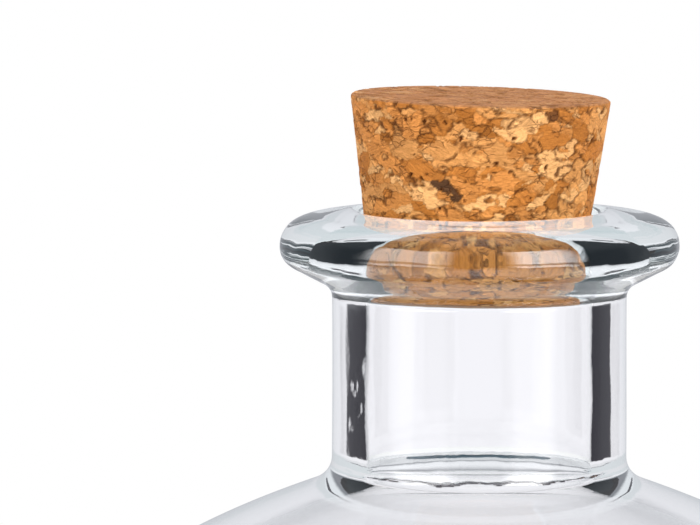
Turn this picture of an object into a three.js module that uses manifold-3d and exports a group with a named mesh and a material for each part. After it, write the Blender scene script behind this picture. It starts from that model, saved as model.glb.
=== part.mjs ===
// A ship in a bottle: a corked, wide-necked glass flagon that stands upright, with a three-masted square rigger
// sailing on a modelled sea inside it. Millimetres, +Z up, origin at the centre of the base's resting plane.
// The bow points to +X and port is +Y. The masts hinge at the deck on wire staples, as they must for the ship to go
// in through the neck, and the cork pulls straight up.

import * as THREE from "three";
import { mergeVertices } from "three/addons/utils/BufferGeometryUtils.js";
import Module from "manifold-3d";

// ---------- driving dimensions ----------

const BODY_RADIUS = 76;
const WALL = 4.5;
const BODY_TOP = 100; // the body's straight wall ends here and the shoulder begins
const SHOULDER_SLOPE = THREE.MathUtils.degToRad(20); // below horizontal, where the shoulder leaves the neck
const NECK_RADIUS = 23.7;
const BORE_RADIUS = 18.2;
const NECK_FOOT = 148.3; // where the shoulder's straight slope would meet the neck's fillet
const LIP_RADIUS = 32.1;
const LIP_TOP = 191.9; // the lip's outer crown
const MOUTH_TOP = 192.7; // the ring round the mouth stands a little higher
const ROUND_SEGMENTS = 36;

const CORK_TOP_RADIUS = 20.9;
const CORK_FOOT_RADIUS = 16.75;
const CORK_LENGTH = 30.95;
const CORK_FOOT = 180; // the cork's lower end, above the base
const CORK_TILT = THREE.MathUtils.degToRad(1.6); // it is pushed in a little crooked, higher on the -X side
const CORK_SHIFT = -0.7; // its foot's place along X, which brings its middle near the mouth's

const SEA_LEVEL = 24; // the ship's waterline, above the base
const SEA_GAP = 0.3; // between the sea and the glass or the hull

const HULL_LENGTH = 92;
const HULL_BEAM = 19;
const KEEL_DEPTH = 5.5;
const BULWARK_TOP = 8.2; // amidships, above the waterline
const BULWARK_THICKNESS = 1;
const DECK_BED = 5.4; // the hull is hollowed down to here
const DECK_TOP = 6.2;
const RAIL_THICKNESS = 0.6;
const RAIL_OVERHANG = 0.35;

const HINGE_HEIGHT = DECK_TOP + 1.2; // the masts' pins, above the waterline
const MAST_RADIUS = 1.1;
const MAST_TIP_RADIUS = 0.5;
const PIN_RADIUS = 0.25;
const PIN_HOLE_RADIUS = 0.36;
const STAPLE_HALF_WIDTH = 1.8;
const YARD_RADIUS = 0.55;
const CLOTH = 0.4; // thickness of the sails
const THREAD_RADIUS = 0.18;

// Each mast: its place along the keel, its height above the hinge, and its yards from the lowest up.
const MASTS = [
  {
    name: "fore",
    x: 25,
    height: 66,
    yards: [
      { level: "lower", height: 24, half: 14.5 },
      { level: "topsail", height: 42, half: 12.5 },
      { level: "topgallant", height: 56.5, half: 9.5 },
    ],
  },
  {
    name: "main",
    x: -2,
    height: 72,
    yards: [
      { level: "lower", height: 26, half: 15.5 },
      { level: "topsail", height: 46, half: 13.5 },
      { level: "topgallant", height: 61.5, half: 10.5 },
    ],
  },
  {
    name: "mizzen",
    x: -29,
    height: 56,
    yards: [
      { level: "lower", height: 22, half: 12 },
      { level: "topsail", height: 38.5, half: 9.5 },
    ],
  },
];

// ---------- materials ----------

const paint = (color, roughness, metalness = 0) =>
  new THREE.MeshStandardMaterial({ color, roughness, metalness });
const GLASS = new THREE.MeshStandardMaterial({
  color: 0xeef4f2,
  roughness: 0.03,
  transparent: true,
  opacity: 0.3,
});
const CORK = paint(0xc8915a, 0.85);
const SEA = paint(0x1f5f86, 0.3);
const HULL_PAINT = paint(0x2b1d17, 0.45);
const DECK_WOOD = paint(0xc9a06a, 0.6);
const DARK_WOOD = paint(0x6b3d22, 0.55);
const SPAR_WOOD = paint(0xa8743f, 0.5);
const WHITE_PAINT = paint(0xe9e2cf, 0.5);
const SAILCLOTH = paint(0xefe3c8, 0.9);
const THREAD = paint(0x3a2a1e, 0.9);
const BRASS = paint(0xb8923c, 0.3, 1);
const IRON = paint(0x24262a, 0.5, 0.8);
const FLAG = paint(0xa3272b, 0.85);

// ---------- solids ----------

const SLIVER = 0.004; // edges and bumps smaller than this are merged away
const wasm = await Module();
wasm.setup();

function solidOf(geometry) {
  const bare = geometry.index ? geometry.toNonIndexed() : geometry.clone();
  bare.deleteAttribute("normal");
  bare.deleteAttribute("uv");
  const merged = mergeVertices(bare, 1e-3);
  return new wasm.Manifold(
    new wasm.Mesh({
      numProp: 3,
      vertProperties: merged.attributes.position.array,
      triVerts: new Uint32Array(merged.index.array),
    }),
  );
}

function geometryOf(solid) {
  const mesh = solid.simplify(SLIVER).getMesh();
  const geometry = new THREE.BufferGeometry();
  geometry.setAttribute("position", new THREE.BufferAttribute(mesh.vertProperties, 3));
  geometry.setIndex(new THREE.BufferAttribute(mesh.triVerts, 1));
  return geometry;
}

function cut(geometry, ...tools) {
  return geometryOf(tools.reduce((left, tool) => left.subtract(solidOf(tool)), solidOf(geometry)));
}

function join(...geometries) {
  return geometryOf(geometries.map(solidOf).reduce((all, solid) => all.add(solid)));
}

function common(a, b) {
  return geometryOf(solidOf(a).intersect(solidOf(b)));
}

// ---------- shapes ----------

// A solid of revolution about Z. The profile holds [radius, height] pairs, anticlockwise from the axis back to it.
function lathe(profile, segments) {
  const points = profile.map(([r, z]) => new THREE.Vector2(r, z));
  return new THREE.LatheGeometry(points, segments).rotateX(Math.PI / 2);
}

// A path's points as [radius, height] pairs, with long curves cut more finely than short ones.
function pointsAlong(path) {
  const pairs = path.curves.flatMap((curve) => {
    const steps = curve.isLineCurve ? 1 : THREE.MathUtils.clamp(Math.round(curve.getLength() / 9), 3, 8);
    return curve.getPoints(steps).slice(1);
  });
  return [path.curves[0].getPoint(0), ...pairs].map((p) => [Math.max(p.x, 0), p.y]);
}

function box(x, y, z, width, depth, height) {
  return new THREE.BoxGeometry(width, depth, height).translate(x, y, z + height / 2);
}

// A round bar between two points, tapering from one radius to the other.
function bar(from, to, fromRadius, toRadius = fromRadius, sides = 8) {
  const along = new THREE.Vector3().subVectors(to, from);
  const turn = new THREE.Quaternion().setFromUnitVectors(
    new THREE.Vector3(0, 1, 0),
    along.clone().normalize(),
  );
  const middle = new THREE.Vector3().addVectors(from, to).divideScalar(2);
  return new THREE.CylinderGeometry(toRadius, fromRadius, along.length(), sides)
    .applyQuaternion(turn)
    .translate(middle.x, middle.y, middle.z);
}

const at = (x, y, z) => new THREE.Vector3(x, y, z);

// A skin over closed rings of the same number of points, anticlockwise as seen from the last ring.
// The first ring is closed by a fan. The last one is too, unless its two sides already meet.
function loft(rings, capEnd = true) {
  const count = rings[0].length;
  const positions = rings.flat().flatMap((p) => [p.x, p.y, p.z]);
  const indices = [];
  for (let k = 0; k + 1 < rings.length; k++)
    for (let i = 0; i < count; i++) {
      const a = k * count + i;
      const b = k * count + ((i + 1) % count);
      indices.push(a, b, b + count, a, b + count, a + count);
    }
  const cap = (k, flip) => {
    const centre = rings[k].reduce((sum, p) => sum.add(p), at(0, 0, 0)).divideScalar(count);
    const hub = positions.push(centre.x, centre.y, centre.z) / 3 - 1;
    for (let i = 0; i < count; i++) {
      const a = k * count + i;
      const b = k * count + ((i + 1) % count);
      indices.push(hub, flip ? b : a, flip ? a : b);
    }
  };
  cap(0, true);
  if (capEnd) cap(rings.length - 1, false);
  const geometry = new THREE.BufferGeometry();
  geometry.setAttribute("position", new THREE.Float32BufferAttribute(positions, 3));
  return geometry.setIndex(indices);
}

// A closed slab of cloth. point(u, v) is on its middle surface, and half reaches from there to its front face,
// which faces along u crossed with v.
function sheet(columns, rows, point, half) {
  const across = columns + 1;
  const behind = across * (rows + 1);
  const positions = [];
  for (const side of [1, -1])
    for (let j = 0; j <= rows; j++)
      for (let i = 0; i <= columns; i++) {
        const p = point(i / columns, j / rows).addScaledVector(half, side);
        positions.push(p.x, p.y, p.z);
      }
  const indices = [];
  const quad = (a, b, c, d) => indices.push(a, b, c, a, c, d);
  for (let j = 0; j < rows; j++)
    for (let i = 0; i < columns; i++) {
      const a = j * across + i;
      quad(a, a + 1, a + 1 + across, a + across);
      quad(behind + a, behind + a + across, behind + a + 1 + across, behind + a + 1);
    }
  const border = [];
  for (let i = 0; i < columns; i++) border.push(i);
  for (let j = 0; j < rows; j++) border.push(j * across + columns);
  for (let i = columns; i > 0; i--) border.push(rows * across + i);
  for (let j = rows; j > 0; j--) border.push(j * across);
  border.forEach((a, k) => {
    const b = border[(k + 1) % border.length];
    quad(b, a, behind + a, behind + b);
  });
  const geometry = new THREE.BufferGeometry();
  geometry.setAttribute("position", new THREE.Float32BufferAttribute(positions, 3));
  return geometry.setIndex(indices);
}

function piece(name, geometry, material) {
  const mesh = new THREE.Mesh(geometry, material);
  mesh.name = name;
  return mesh;
}

// ---------- bottle, cork and sea ----------

const slopeDrop = (run) => run * Math.tan(SHOULDER_SLOPE);
const INNER_RADIUS = BODY_RADIUS - WALL;
const CORNER_RADIUS = 14;
const INNER_CORNER = 10;
const FLOOR = 9; // inside, round the raised middle
const PUNT_RIM = 54; // the base is pushed up inside this radius
const PUNT_HEIGHT = 5;
const FLOOR_RISE = 4;
const FILLET_RUN = 4; // from the neck out to where the shoulder's slope begins
const BORE_EDGE = NECK_FOOT + 0.5; // the bore ends in a blunt edge here

// The glass from the axis, along the base, up the outside, over the lip and down the inside to the axis.
function bottleProfile() {
  const path = new THREE.Path();
  const foot = BODY_RADIUS - CORNER_RADIUS;
  const slopeStart = NECK_RADIUS + FILLET_RUN;
  path.moveTo(0, PUNT_HEIGHT);
  path.quadraticCurveTo(PUNT_RIM * 0.75, PUNT_HEIGHT, PUNT_RIM, 0);
  path.lineTo(foot, 0);
  path.absarc(foot, CORNER_RADIUS, CORNER_RADIUS, -Math.PI / 2, 0, false);
  path.lineTo(BODY_RADIUS, BODY_TOP);
  path.bezierCurveTo(
    BODY_RADIUS,
    BODY_TOP + 26,
    slopeStart + 25,
    NECK_FOOT - slopeDrop(25),
    slopeStart,
    NECK_FOOT,
  );
  path.quadraticCurveTo(
    NECK_RADIUS,
    NECK_FOOT + slopeDrop(FILLET_RUN),
    NECK_RADIUS,
    NECK_FOOT + 4.6,
  );
  path.lineTo(NECK_RADIUS, LIP_TOP - 13.4);
  path.quadraticCurveTo(NECK_RADIUS, LIP_TOP - 11.6, NECK_RADIUS + 2, LIP_TOP - 10.7);
  path.lineTo(LIP_RADIUS - 2.6, LIP_TOP - 8.7);
  path.quadraticCurveTo(LIP_RADIUS, LIP_TOP - 7.6, LIP_RADIUS, LIP_TOP - 5);
  path.bezierCurveTo(LIP_RADIUS, LIP_TOP - 1.9, LIP_RADIUS - 2.6, LIP_TOP - 0.2, LIP_RADIUS - 6.4, LIP_TOP);
  path.lineTo(BORE_RADIUS + 2.6, MOUTH_TOP - 0.05);
  path.quadraticCurveTo(BORE_RADIUS + 0.9, MOUTH_TOP + 0.1, BORE_RADIUS + 0.6, MOUTH_TOP - 1.6);
  path.lineTo(BORE_RADIUS, LIP_TOP - 6);
  path.lineTo(BORE_RADIUS, BORE_EDGE + 0.9);
  path.quadraticCurveTo(BORE_RADIUS, BORE_EDGE, BORE_RADIUS + 0.6, BORE_EDGE - 0.86);
  const inner = BORE_RADIUS + FILLET_RUN + 1.8;
  const innerFoot = NECK_FOOT - WALL / Math.cos(SHOULDER_SLOPE) + slopeDrop(slopeStart - inner);
  path.quadraticCurveTo(inner - 2.85, innerFoot + slopeDrop(2.85), inner, innerFoot);
  path.bezierCurveTo(
    inner + 25,
    innerFoot - slopeDrop(25),
    INNER_RADIUS,
    BODY_TOP + 23,
    INNER_RADIUS,
    BODY_TOP - 2,
  );
  path.lineTo(INNER_RADIUS, FLOOR + INNER_CORNER);
  path.absarc(INNER_RADIUS - INNER_CORNER, FLOOR + INNER_CORNER, INNER_CORNER, 0, -Math.PI / 2, true);
  path.lineTo(PUNT_RIM, FLOOR);
  path.quadraticCurveTo(PUNT_RIM * 0.6, FLOOR, 0, FLOOR + FLOOR_RISE);
  return pointsAlong(path);
}

function cork() {
  const edge = 0.7; // the rims are worn round
  return lathe(
    [
      [0, 0],
      [CORK_FOOT_RADIUS - edge, 0],
      [CORK_FOOT_RADIUS, edge],
      [CORK_TOP_RADIUS, CORK_LENGTH - edge],
      [CORK_TOP_RADIUS - edge, CORK_LENGTH],
      [0, CORK_LENGTH],
    ],
    ROUND_SEGMENTS,
  );
}

function waveHeight(x, y) {
  return (
    0.9 * Math.sin(0.2 * x + 0.4) * Math.cos(0.16 * y) +
    0.5 * Math.sin(0.31 * x - 0.27 * y + 1) +
    0.3 * Math.sin(0.5 * y + 0.22 * x)
  );
}

// The sea fills the bottle's floor. Its top is a fan of rings lifted into waves, and the hull is bedded in it.
function sea() {
  const rim = INNER_RADIUS - SEA_GAP;
  const corner = INNER_CORNER;
  const floor = FLOOR + SEA_GAP;
  const surface = [rim, 60, 49, 38, 27, 16, 0];
  const path = new THREE.Path();
  path.moveTo(0, floor + FLOOR_RISE);
  path.quadraticCurveTo(PUNT_RIM * 0.6, floor, PUNT_RIM, floor);
  path.lineTo(rim - corner, floor);
  path.absarc(rim - corner, floor + corner, corner, -Math.PI / 2, 0, false);
  const whole = lathe([...pointsAlong(path), ...surface.map((r) => [r, SEA_LEVEL])], ROUND_SEGMENTS);
  const place = whole.attributes.position;
  for (let i = 0; i < place.count; i++)
    if (place.getZ(i) > SEA_LEVEL - 0.01)
      place.setZ(i, SEA_LEVEL + waveHeight(place.getX(i), place.getY(i)));
  const hollow = hullForm(SEA_GAP).translate(0, 0, SEA_LEVEL);
  const rudderSlot = rudder(SEA_GAP).translate(0, 0, SEA_LEVEL);
  return cut(whole, hollow, rudderSlot);
}

// ---------- hull, in the ship's own frame: origin at the waterline amidships ----------

// s runs from the transom, 0, to the stem, 1.
const sheer = (s) => {
  const end = 2 * s - 1;
  return BULWARK_TOP + (end > 0 ? 3.2 : 2) * end * end;
};

const keel = (s) => {
  const stern = Math.max(0, 0.16 - s) / 0.16;
  const bow = Math.max(0, s - 0.86) / 0.14;
  return -KEEL_DEPTH + 2.5 * stern ** 2 + 3.5 * bow ** 2;
};

// The deck's outline as a share of the half beam: a broad transom, full amidships and closing to the stem.
const outline = (s) => {
  if (s < 0.35) return 0.6 + 0.4 * Math.sin((Math.PI / 2) * (s / 0.35));
  if (s < 0.55) return 1;
  return Math.max(0, Math.cos((Math.PI / 2) * ((s - 0.55) / 0.45) ** 1.5)) ** 0.85;
};

const fullness = (s) => 0.3 + 0.45 * Math.abs(2 * s - 1) ** 2.5;

// h runs from the keel, 0, to the bulwark's top, 1. The stem rakes forward and the counter rakes aft.
const alongHull = (s, h) =>
  HULL_LENGTH * (s - 0.5) + 6 * (h - 0.5) * s ** 6 - 4 * (h - 0.5) * (1 - s) ** 6;

const halfBreadth = (s, h) => (HULL_BEAM / 2) * outline(s) * h ** fullness(s);

const hullZ = (s, h) => keel(s) + (sheer(s) - keel(s)) * h;

const STATIONS = 20;
const SIDE_STEPS = 6;

// The hull's solid form, grown outwards all round by grow and raised at the top by extra.
function hullForm(grow = 0, extra = 0) {
  const rings = [];
  for (let k = 0; k <= STATIONS; k++) {
    const s = k / STATIONS;
    const end = k === 0 ? -grow : k === STATIONS ? grow : 0;
    const side = [];
    for (let i = 0; i <= SIDE_STEPS; i++) {
      const h = (i / SIDE_STEPS) ** 1.5;
      const half = k === STATIONS ? 0 : halfBreadth(s, h) + (i ? grow : 0);
      side.push(at(alongHull(s, h) + end, half, hullZ(s, h) + (i ? 0 : -grow) + extra * h));
    }
    const mirrored = side
      .slice(1)
      .reverse()
      .map((p) => at(p.x, -p.y, p.z));
    rings.push([...side, ...mirrored]);
  }
  return loft(rings, false);
}

// The share of the hull's depth at a height.
const depthShare = (s, z) => (z - keel(s)) / (sheer(s) - keel(s));

// A slug of the space inside the bulwarks, between two heights, shrunk all round by gap.
function deckPlan(low, high, gap = 0) {
  const edge = [];
  for (let s = 0.026; s < 1; s += 0.038) {
    const h = depthShare(s, DECK_TOP);
    const half = halfBreadth(s, h) - BULWARK_THICKNESS;
    if (half > 0.8) edge.push(new THREE.Vector2(alongHull(s, h), half - gap));
  }
  edge[0].x += gap;
  edge[edge.length - 1].x -= gap;
  const around = [...edge.map((p) => new THREE.Vector2(p.x, -p.y)), ...edge.reverse()];
  return new THREE.ExtrudeGeometry(new THREE.Shape(around), {
    depth: high - low,
    bevelEnabled: false,
  }).translate(0, 0, low);
}

function hull() {
  const legs = MASTS.flatMap((mast) => stapleHoles(mast.x));
  return cut(hullForm(), deckPlan(DECK_BED, 20), bowspritBar(BOWSPRIT_GAP), ...legs);
}

function deck() {
  const legs = MASTS.flatMap((mast) => stapleHoles(mast.x));
  return cut(deckPlan(DECK_BED + 0.02, DECK_TOP, 0.06), ...legs);
}

const RAISED_DECK_FLOOR = DECK_TOP + 0.02;
const RAISED_DECK_TOP = 8.6;
const QUARTERDECK_FRONT = -35;
const FORECASTLE_BACK = 36;

function raisedDeck(from, to) {
  const slug = deckPlan(RAISED_DECK_FLOOR, RAISED_DECK_TOP, 0.06);
  return common(slug, box((from + to) / 2, 0, 0, to - from, 40, 30));
}

// The cap rail follows the bulwark's sheer and stands a little proud of it.
function capRail() {
  const below = [];
  for (let k = -1; k <= STATIONS + 1; k++) {
    const s = k / STATIONS;
    const x = HULL_LENGTH * (s - 0.5) + (s > 0.5 ? 3 * s ** 6 : -2 * (1 - s) ** 6);
    const top = sheer(Math.min(Math.max(s, 0), 1)) + 0.03;
    below.push([at(x, 20, -20), at(x, 20, top), at(x, -20, top), at(x, -20, -20)]);
  }
  return cut(
    hullForm(RAIL_OVERHANG, RAIL_THICKNESS),
    loft(below),
    deckPlan(0, 30, RAIL_OVERHANG),
    bowspritBar(BOWSPRIT_GAP),
  );
}

// The rudder's front edge follows the raked sternpost.
function rudder(grow = 0) {
  const top = 3;
  const post = (z) => alongHull(0, depthShare(0, z)) - 0.35 + grow;
  const side = new THREE.Shape([
    new THREE.Vector2(post(keel(0)), keel(0) - grow),
    new THREE.Vector2(post(top), top),
    new THREE.Vector2(post(top) - 2 - 2 * grow, top),
    new THREE.Vector2(post(keel(0)) - 2.8 - 2 * grow, keel(0) - grow),
  ]);
  const thickness = 0.8 + 2 * grow;
  return new THREE.ExtrudeGeometry(side, { depth: thickness, bevelEnabled: false })
    .rotateX(Math.PI / 2)
    .translate(0, thickness / 2, 0);
}

// The hull's half breadth at a place along the ship and a height.
function hullSide(x, z) {
  let s = 0.5;
  for (let pass = 0; pass < 6; pass++) s += (x - alongHull(s, depthShare(s, z))) / HULL_LENGTH;
  return halfBreadth(s, depthShare(s, z));
}

// ---------- deck fittings ----------

const CABIN_X = -17;
const CABIN = { length: 10.5, width: 8, height: 4 };

function deckhouse() {
  const walls = box(CABIN_X, 0, DECK_TOP + 0.02, CABIN.length, CABIN.width, CABIN.height);
  const windows = [-3.2, 0, 3.2].flatMap((x) =>
    [1, -1].map((side) => box(CABIN_X + x, (side * CABIN.width) / 2, DECK_TOP + 1.7, 1.5, 0.7, 1.3)),
  );
  const door = box(CABIN_X - CABIN.length / 2, 0, DECK_TOP + 0.4, 0.7, 1.8, 2.9);
  return cut(walls, ...windows, door);
}

function deckhouseRoof() {
  const plan = new THREE.Shape();
  const x = CABIN.length / 2 + 0.5;
  const y = CABIN.width / 2 + 0.5;
  plan.moveTo(-x + 1, -y);
  plan.lineTo(x - 1, -y);
  plan.quadraticCurveTo(x, -y, x, -y + 1);
  plan.lineTo(x, y - 1);
  plan.quadraticCurveTo(x, y, x - 1, y);
  plan.lineTo(-x + 1, y);
  plan.quadraticCurveTo(-x, y, -x, y - 1);
  plan.lineTo(-x, -y + 1);
  plan.quadraticCurveTo(-x, -y, -x + 1, -y);
  return new THREE.ExtrudeGeometry(plan, { depth: 0.6, bevelEnabled: false, curveSegments: 3 }).translate(
    CABIN_X,
    0,
    DECK_TOP + CABIN.height + 0.05,
  );
}

const ROOF_TOP = DECK_TOP + CABIN.height + 0.65;

// An upturned boat with its keel along X, resting on the roof.
function lifeboat(y) {
  const dome = [[0, 0], [1, 0], [0.92, 0.4], [0.7, 0.72], [0.38, 0.93], [0, 1]];
  const keelStrip = box(0, 0, 1.2, 6, 0.35, 0.5);
  return join(lathe(dome, 12).scale(4, 1.5, 1.5), keelStrip).translate(CABIN_X, y, ROOF_TOP + 0.05);
}

function hatch(x, length, width) {
  const coaming = box(x, 0, DECK_TOP + 0.02, length, width, 1);
  const cover = box(x, 0, DECK_TOP + 0.9, length - 0.8, width - 0.8, 0.5);
  return join(coaming, cover);
}

function capstan() {
  return lathe(
    [[0, 0], [1.2, 0], [1.2, 0.4], [0.75, 0.9], [0.75, 1.5], [1.25, 1.8], [1.25, 2.3], [0, 2.5]],
    8,
  ).translate(4.5, 0, DECK_TOP + 0.03);
}

const WHEEL_X = -39;
const WHEEL_RADIUS = 1.6;
const WHEEL_CENTRE = RAISED_DECK_TOP + 2.3;

function wheelStand() {
  const post = bar(at(WHEEL_X - 1.5, 0, RAISED_DECK_TOP + 0.03), at(WHEEL_X - 1.5, 0, WHEEL_CENTRE), 0.9, 0.5);
  const axle = bar(at(WHEEL_X - 1.5, 0, WHEEL_CENTRE - 0.4), at(WHEEL_X - 0.45, 0, WHEEL_CENTRE - 0.4), 0.2);
  return join(post, axle);
}

function shipWheel() {
  const rim = new THREE.TorusGeometry(WHEEL_RADIUS, 0.2, 4, 12);
  const spokes = [0, 1, 2, 3].map((k) => {
    const angle = (k * Math.PI) / 4;
    const reach = WHEEL_RADIUS + 0.6;
    const tip = at(reach * Math.cos(angle), reach * Math.sin(angle), 0);
    return bar(tip.clone().negate(), tip, 0.13, 0.13, 4);
  });
  const hub = bar(at(0, 0, -0.25), at(0, 0, 0.25), 0.45);
  return join(rim, hub, ...spokes)
    .rotateY(Math.PI / 2)
    .translate(WHEEL_X, 0, WHEEL_CENTRE - 0.4 + 0.55);
}

// An anchor lashed flat against the bow.
function anchor(side) {
  const x = 36;
  const top = 7.4;
  const arm = 1.8;
  const crown = -4.7;
  const shank = bar(at(0, 0, 0.2), at(0, 0, crown), 0.25, 0.25, 4);
  const stock = bar(at(-1.3, 0, -0.6), at(1.3, 0, -0.6), 0.2, 0.2, 4);
  const ring = new THREE.TorusGeometry(0.5, 0.15, 4, 6).rotateX(Math.PI / 2).translate(0, 0, 0.5);
  const arms = [-1, 1].flatMap((way) => {
    const knee = at(way * arm * 0.7, 0, crown + 0.55);
    const tip = at(way * arm, 0, crown + 1.9);
    return [bar(at(0, 0, crown), knee, 0.25, 0.25, 4), bar(knee, tip, 0.27, 0.1, 4)];
  });
  const flare = Math.atan2(hullSide(x - 2, 5) - hullSide(x + 2, 5), 4);
  return join(shank, stock, ring, ...arms)
    .rotateZ(-side * flare)
    .translate(x, side * (hullSide(x, top) + 1.15), top);
}

const BOWSPRIT_GAP = 0.12;
const BOWSPRIT_HEEL = at(37.5, 0, RAISED_DECK_TOP + 1.1);
const BOWSPRIT_TIP = at(63, 0, 18.6);
const alongBowsprit = (x) =>
  at(x, 0, 0).setZ(
    THREE.MathUtils.mapLinear(x, BOWSPRIT_HEEL.x, BOWSPRIT_TIP.x, BOWSPRIT_HEEL.z, BOWSPRIT_TIP.z),
  );

function bowspritBar(grow = 0) {
  return bar(BOWSPRIT_HEEL, BOWSPRIT_TIP, 0.95 + grow, 0.45 + grow, 10);
}

// ---------- masts, yards, sails and flags, in each mast's own frame: origin at its hinge ----------

const mastRadius = (mast, z) =>
  THREE.MathUtils.lerp(MAST_RADIUS, MAST_TIP_RADIUS, Math.max(z, 0) / mast.height);

function staple(x) {
  const leg = (y) =>
    bar(at(x, y, HINGE_HEIGHT - 3), at(x, y, HINGE_HEIGHT), PIN_RADIUS);
  const pin = bar(
    at(x, -STAPLE_HALF_WIDTH - PIN_RADIUS, HINGE_HEIGHT),
    at(x, STAPLE_HALF_WIDTH + PIN_RADIUS, HINGE_HEIGHT),
    PIN_RADIUS,
  );
  return join(leg(-STAPLE_HALF_WIDTH), leg(STAPLE_HALF_WIDTH), pin);
}

function stapleHoles(x) {
  return [-STAPLE_HALF_WIDTH, STAPLE_HALF_WIDTH].map((y) =>
    bar(at(x, y, HINGE_HEIGHT - 3.2), at(x, y, HINGE_HEIGHT), PIN_HOLE_RADIUS),
  );
}

function mastPole(mast) {
  const foot = [-90, -60, -30].map((degrees) => {
    const a = THREE.MathUtils.degToRad(degrees);
    return [Math.max(0, MAST_RADIUS * Math.cos(a)), MAST_RADIUS * Math.sin(a)];
  });
  foot[0][0] = 0;
  const pole = lathe(
    [...foot, [MAST_RADIUS, 0], [MAST_TIP_RADIUS, mast.height - 0.6], [0.35, mast.height], [0, mast.height]],
    10,
  );
  const hole = bar(at(0, -3, 0), at(0, 3, 0), PIN_HOLE_RADIUS);
  return cut(pole, hole);
}

const yardX = (mast, yard) => mastRadius(mast, yard.height) + YARD_RADIUS + 0.1;

function yardSpar(mast, yard) {
  const tip = 0.3;
  return lathe(
    [[0, -yard.half], [tip, -yard.half], [YARD_RADIUS, 0], [tip, yard.half], [0, yard.half]],
    8,
  )
    .rotateX(Math.PI / 2)
    .translate(yardX(mast, yard), 0, yard.height);
}

const BILLOW = 3.6;
const FOOT_ARCH = 2.3;
const bulge = (u, v) => BILLOW * Math.sin(Math.PI * u) * Math.sin(Math.PI * (0.2 + 0.8 * v));

// A square sail bent to a yard. Its clews stand at the ends of the yard below or, on a course, above the deck.
function squareSail(mast, yard, below) {
  const head = { x: yardX(mast, yard), z: yard.height - YARD_RADIUS - 0.15, half: yard.half - 1 };
  const foot = below
    ? { x: yardX(mast, below), z: below.height + YARD_RADIUS + 0.15, half: below.half - 1 }
    : { x: head.x + 0.8, z: 8.5, half: yard.half - 0.2 };
  return sheet(
    8,
    6,
    (u, v) => {
      const half = THREE.MathUtils.lerp(foot.half, head.half, v);
      const arch = FOOT_ARCH * Math.sin(Math.PI * u) * (1 - v) ** 2;
      return at(
        THREE.MathUtils.lerp(foot.x, head.x, v) + bulge(u, v),
        (2 * u - 1) * half,
        THREE.MathUtils.lerp(foot.z, head.z, v) + arch,
      );
    },
    at(CLOTH / 2, 0, 0),
  );
}

// A pennant at the masthead, streaming forward on the following wind.
function pennant(mast) {
  const length = 9;
  const root = MAST_TIP_RADIUS + 0.25;
  return sheet(
    6,
    1,
    (u, v) => at(
      root + length * u,
      0.6 * Math.sin(u * 7) * u,
      mast.height - 2.6 + (v - 0.5) * 2.6 * (1 - 0.75 * u),
    ),
    at(0, -0.12, 0),
  );
}

function mastGroup(mast) {
  const group = new THREE.Group();
  group.position.set(mast.x, 0, HINGE_HEIGHT);
  group.add(piece(mast.name + "_mast", mastPole(mast), SPAR_WOOD));
  mast.yards.forEach((yard, k) => {
    const sailName = k ? yard.level : "course";
    group.add(
      piece(`${mast.name}_${yard.level}_yard`, yardSpar(mast, yard), SPAR_WOOD),
      piece(`${mast.name}_${sailName}_sail`, squareSail(mast, yard, mast.yards[k - 1]), SAILCLOTH),
    );
  });
  group.add(piece(mast.name + "_pennant", pennant(mast), FLAG));
  return group;
}

// ---------- rigging ----------

const SHROUD_FEET = [1, -2.5, -6]; // along the hull from the mast
const RATLINES = 3;
const CHANNEL = { length: 9, breadth: 1.7, thickness: 0.5 };

// One side's shrouds: three threads from the mast down to a channel plank on the hull, tied across by ratlines.
function shrouds(mast, side) {
  const hounds = mast.yards[0].height - 1.6;
  const head = at(mast.x - 0.3, side * (mastRadius(mast, hounds) + 0.3), HINGE_HEIGHT + hounds);
  const middle = mast.x + (SHROUD_FEET[0] + SHROUD_FEET[2]) / 2;
  const along = SHROUD_FEET.map((dx) => mast.x + dx);
  const plankTop = Math.min(...along.map((x) => sheer(x / HULL_LENGTH + 0.5))) - 0.3;
  const breadth = Math.max(...along.map((x) => hullSide(x, plankTop)));
  const plankY = side * (breadth + 0.06 + CHANNEL.breadth / 2);
  const plankZ = plankTop - CHANNEL.thickness;
  const plank = box(middle, plankY, plankZ, CHANNEL.length, CHANNEL.breadth, CHANNEL.thickness);
  const feet = along.map((x) => at(x, plankY + side * (CHANNEL.breadth / 2 - 0.4), plankZ + 0.2));
  const threads = feet.map((foot) => bar(foot, head, THREAD_RADIUS, THREAD_RADIUS, 4));
  const eye = box(head.x, head.y, head.z - 0.5, 0.8, 0.44, 0.9);
  const ratlines = [];
  for (let k = 1; k <= RATLINES; k++) {
    const t = k / (RATLINES + 2);
    ratlines.push(bar(feet[0].clone().lerp(head, t), feet[2].clone().lerp(head, t), 0.12, 0.12, 4));
  }
  return join(plank, eye, ...threads, ...ratlines);
}

const FORE_STAY = {
  low: at(62, 0, 0).setZ(alongBowsprit(62).z + 0.9),
  high: at(MASTS[0].x + 1, 0, HINGE_HEIGHT + 59.5),
};
const INNER_STAY = {
  low: at(53, 0, 0).setZ(alongBowsprit(53).z + 1),
  high: at(MASTS[0].x + 1.15, 0, HINGE_HEIGHT + 44.2),
};

const thread = ({ low, high }) => bar(low, high, THREAD_RADIUS, THREAD_RADIUS, 6);

// A stay from a mast, just above its lower yard, forward to the deck at the foot of the mast ahead.
function innerMastStay(mast, ahead) {
  const height = mast.yards[0].height + 3;
  return thread({
    low: at(ahead.x - 2.4, 0, DECK_TOP + 0.3),
    high: at(mast.x + mastRadius(mast, height) + 0.35, 0, HINGE_HEIGHT + height),
  });
}

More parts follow.
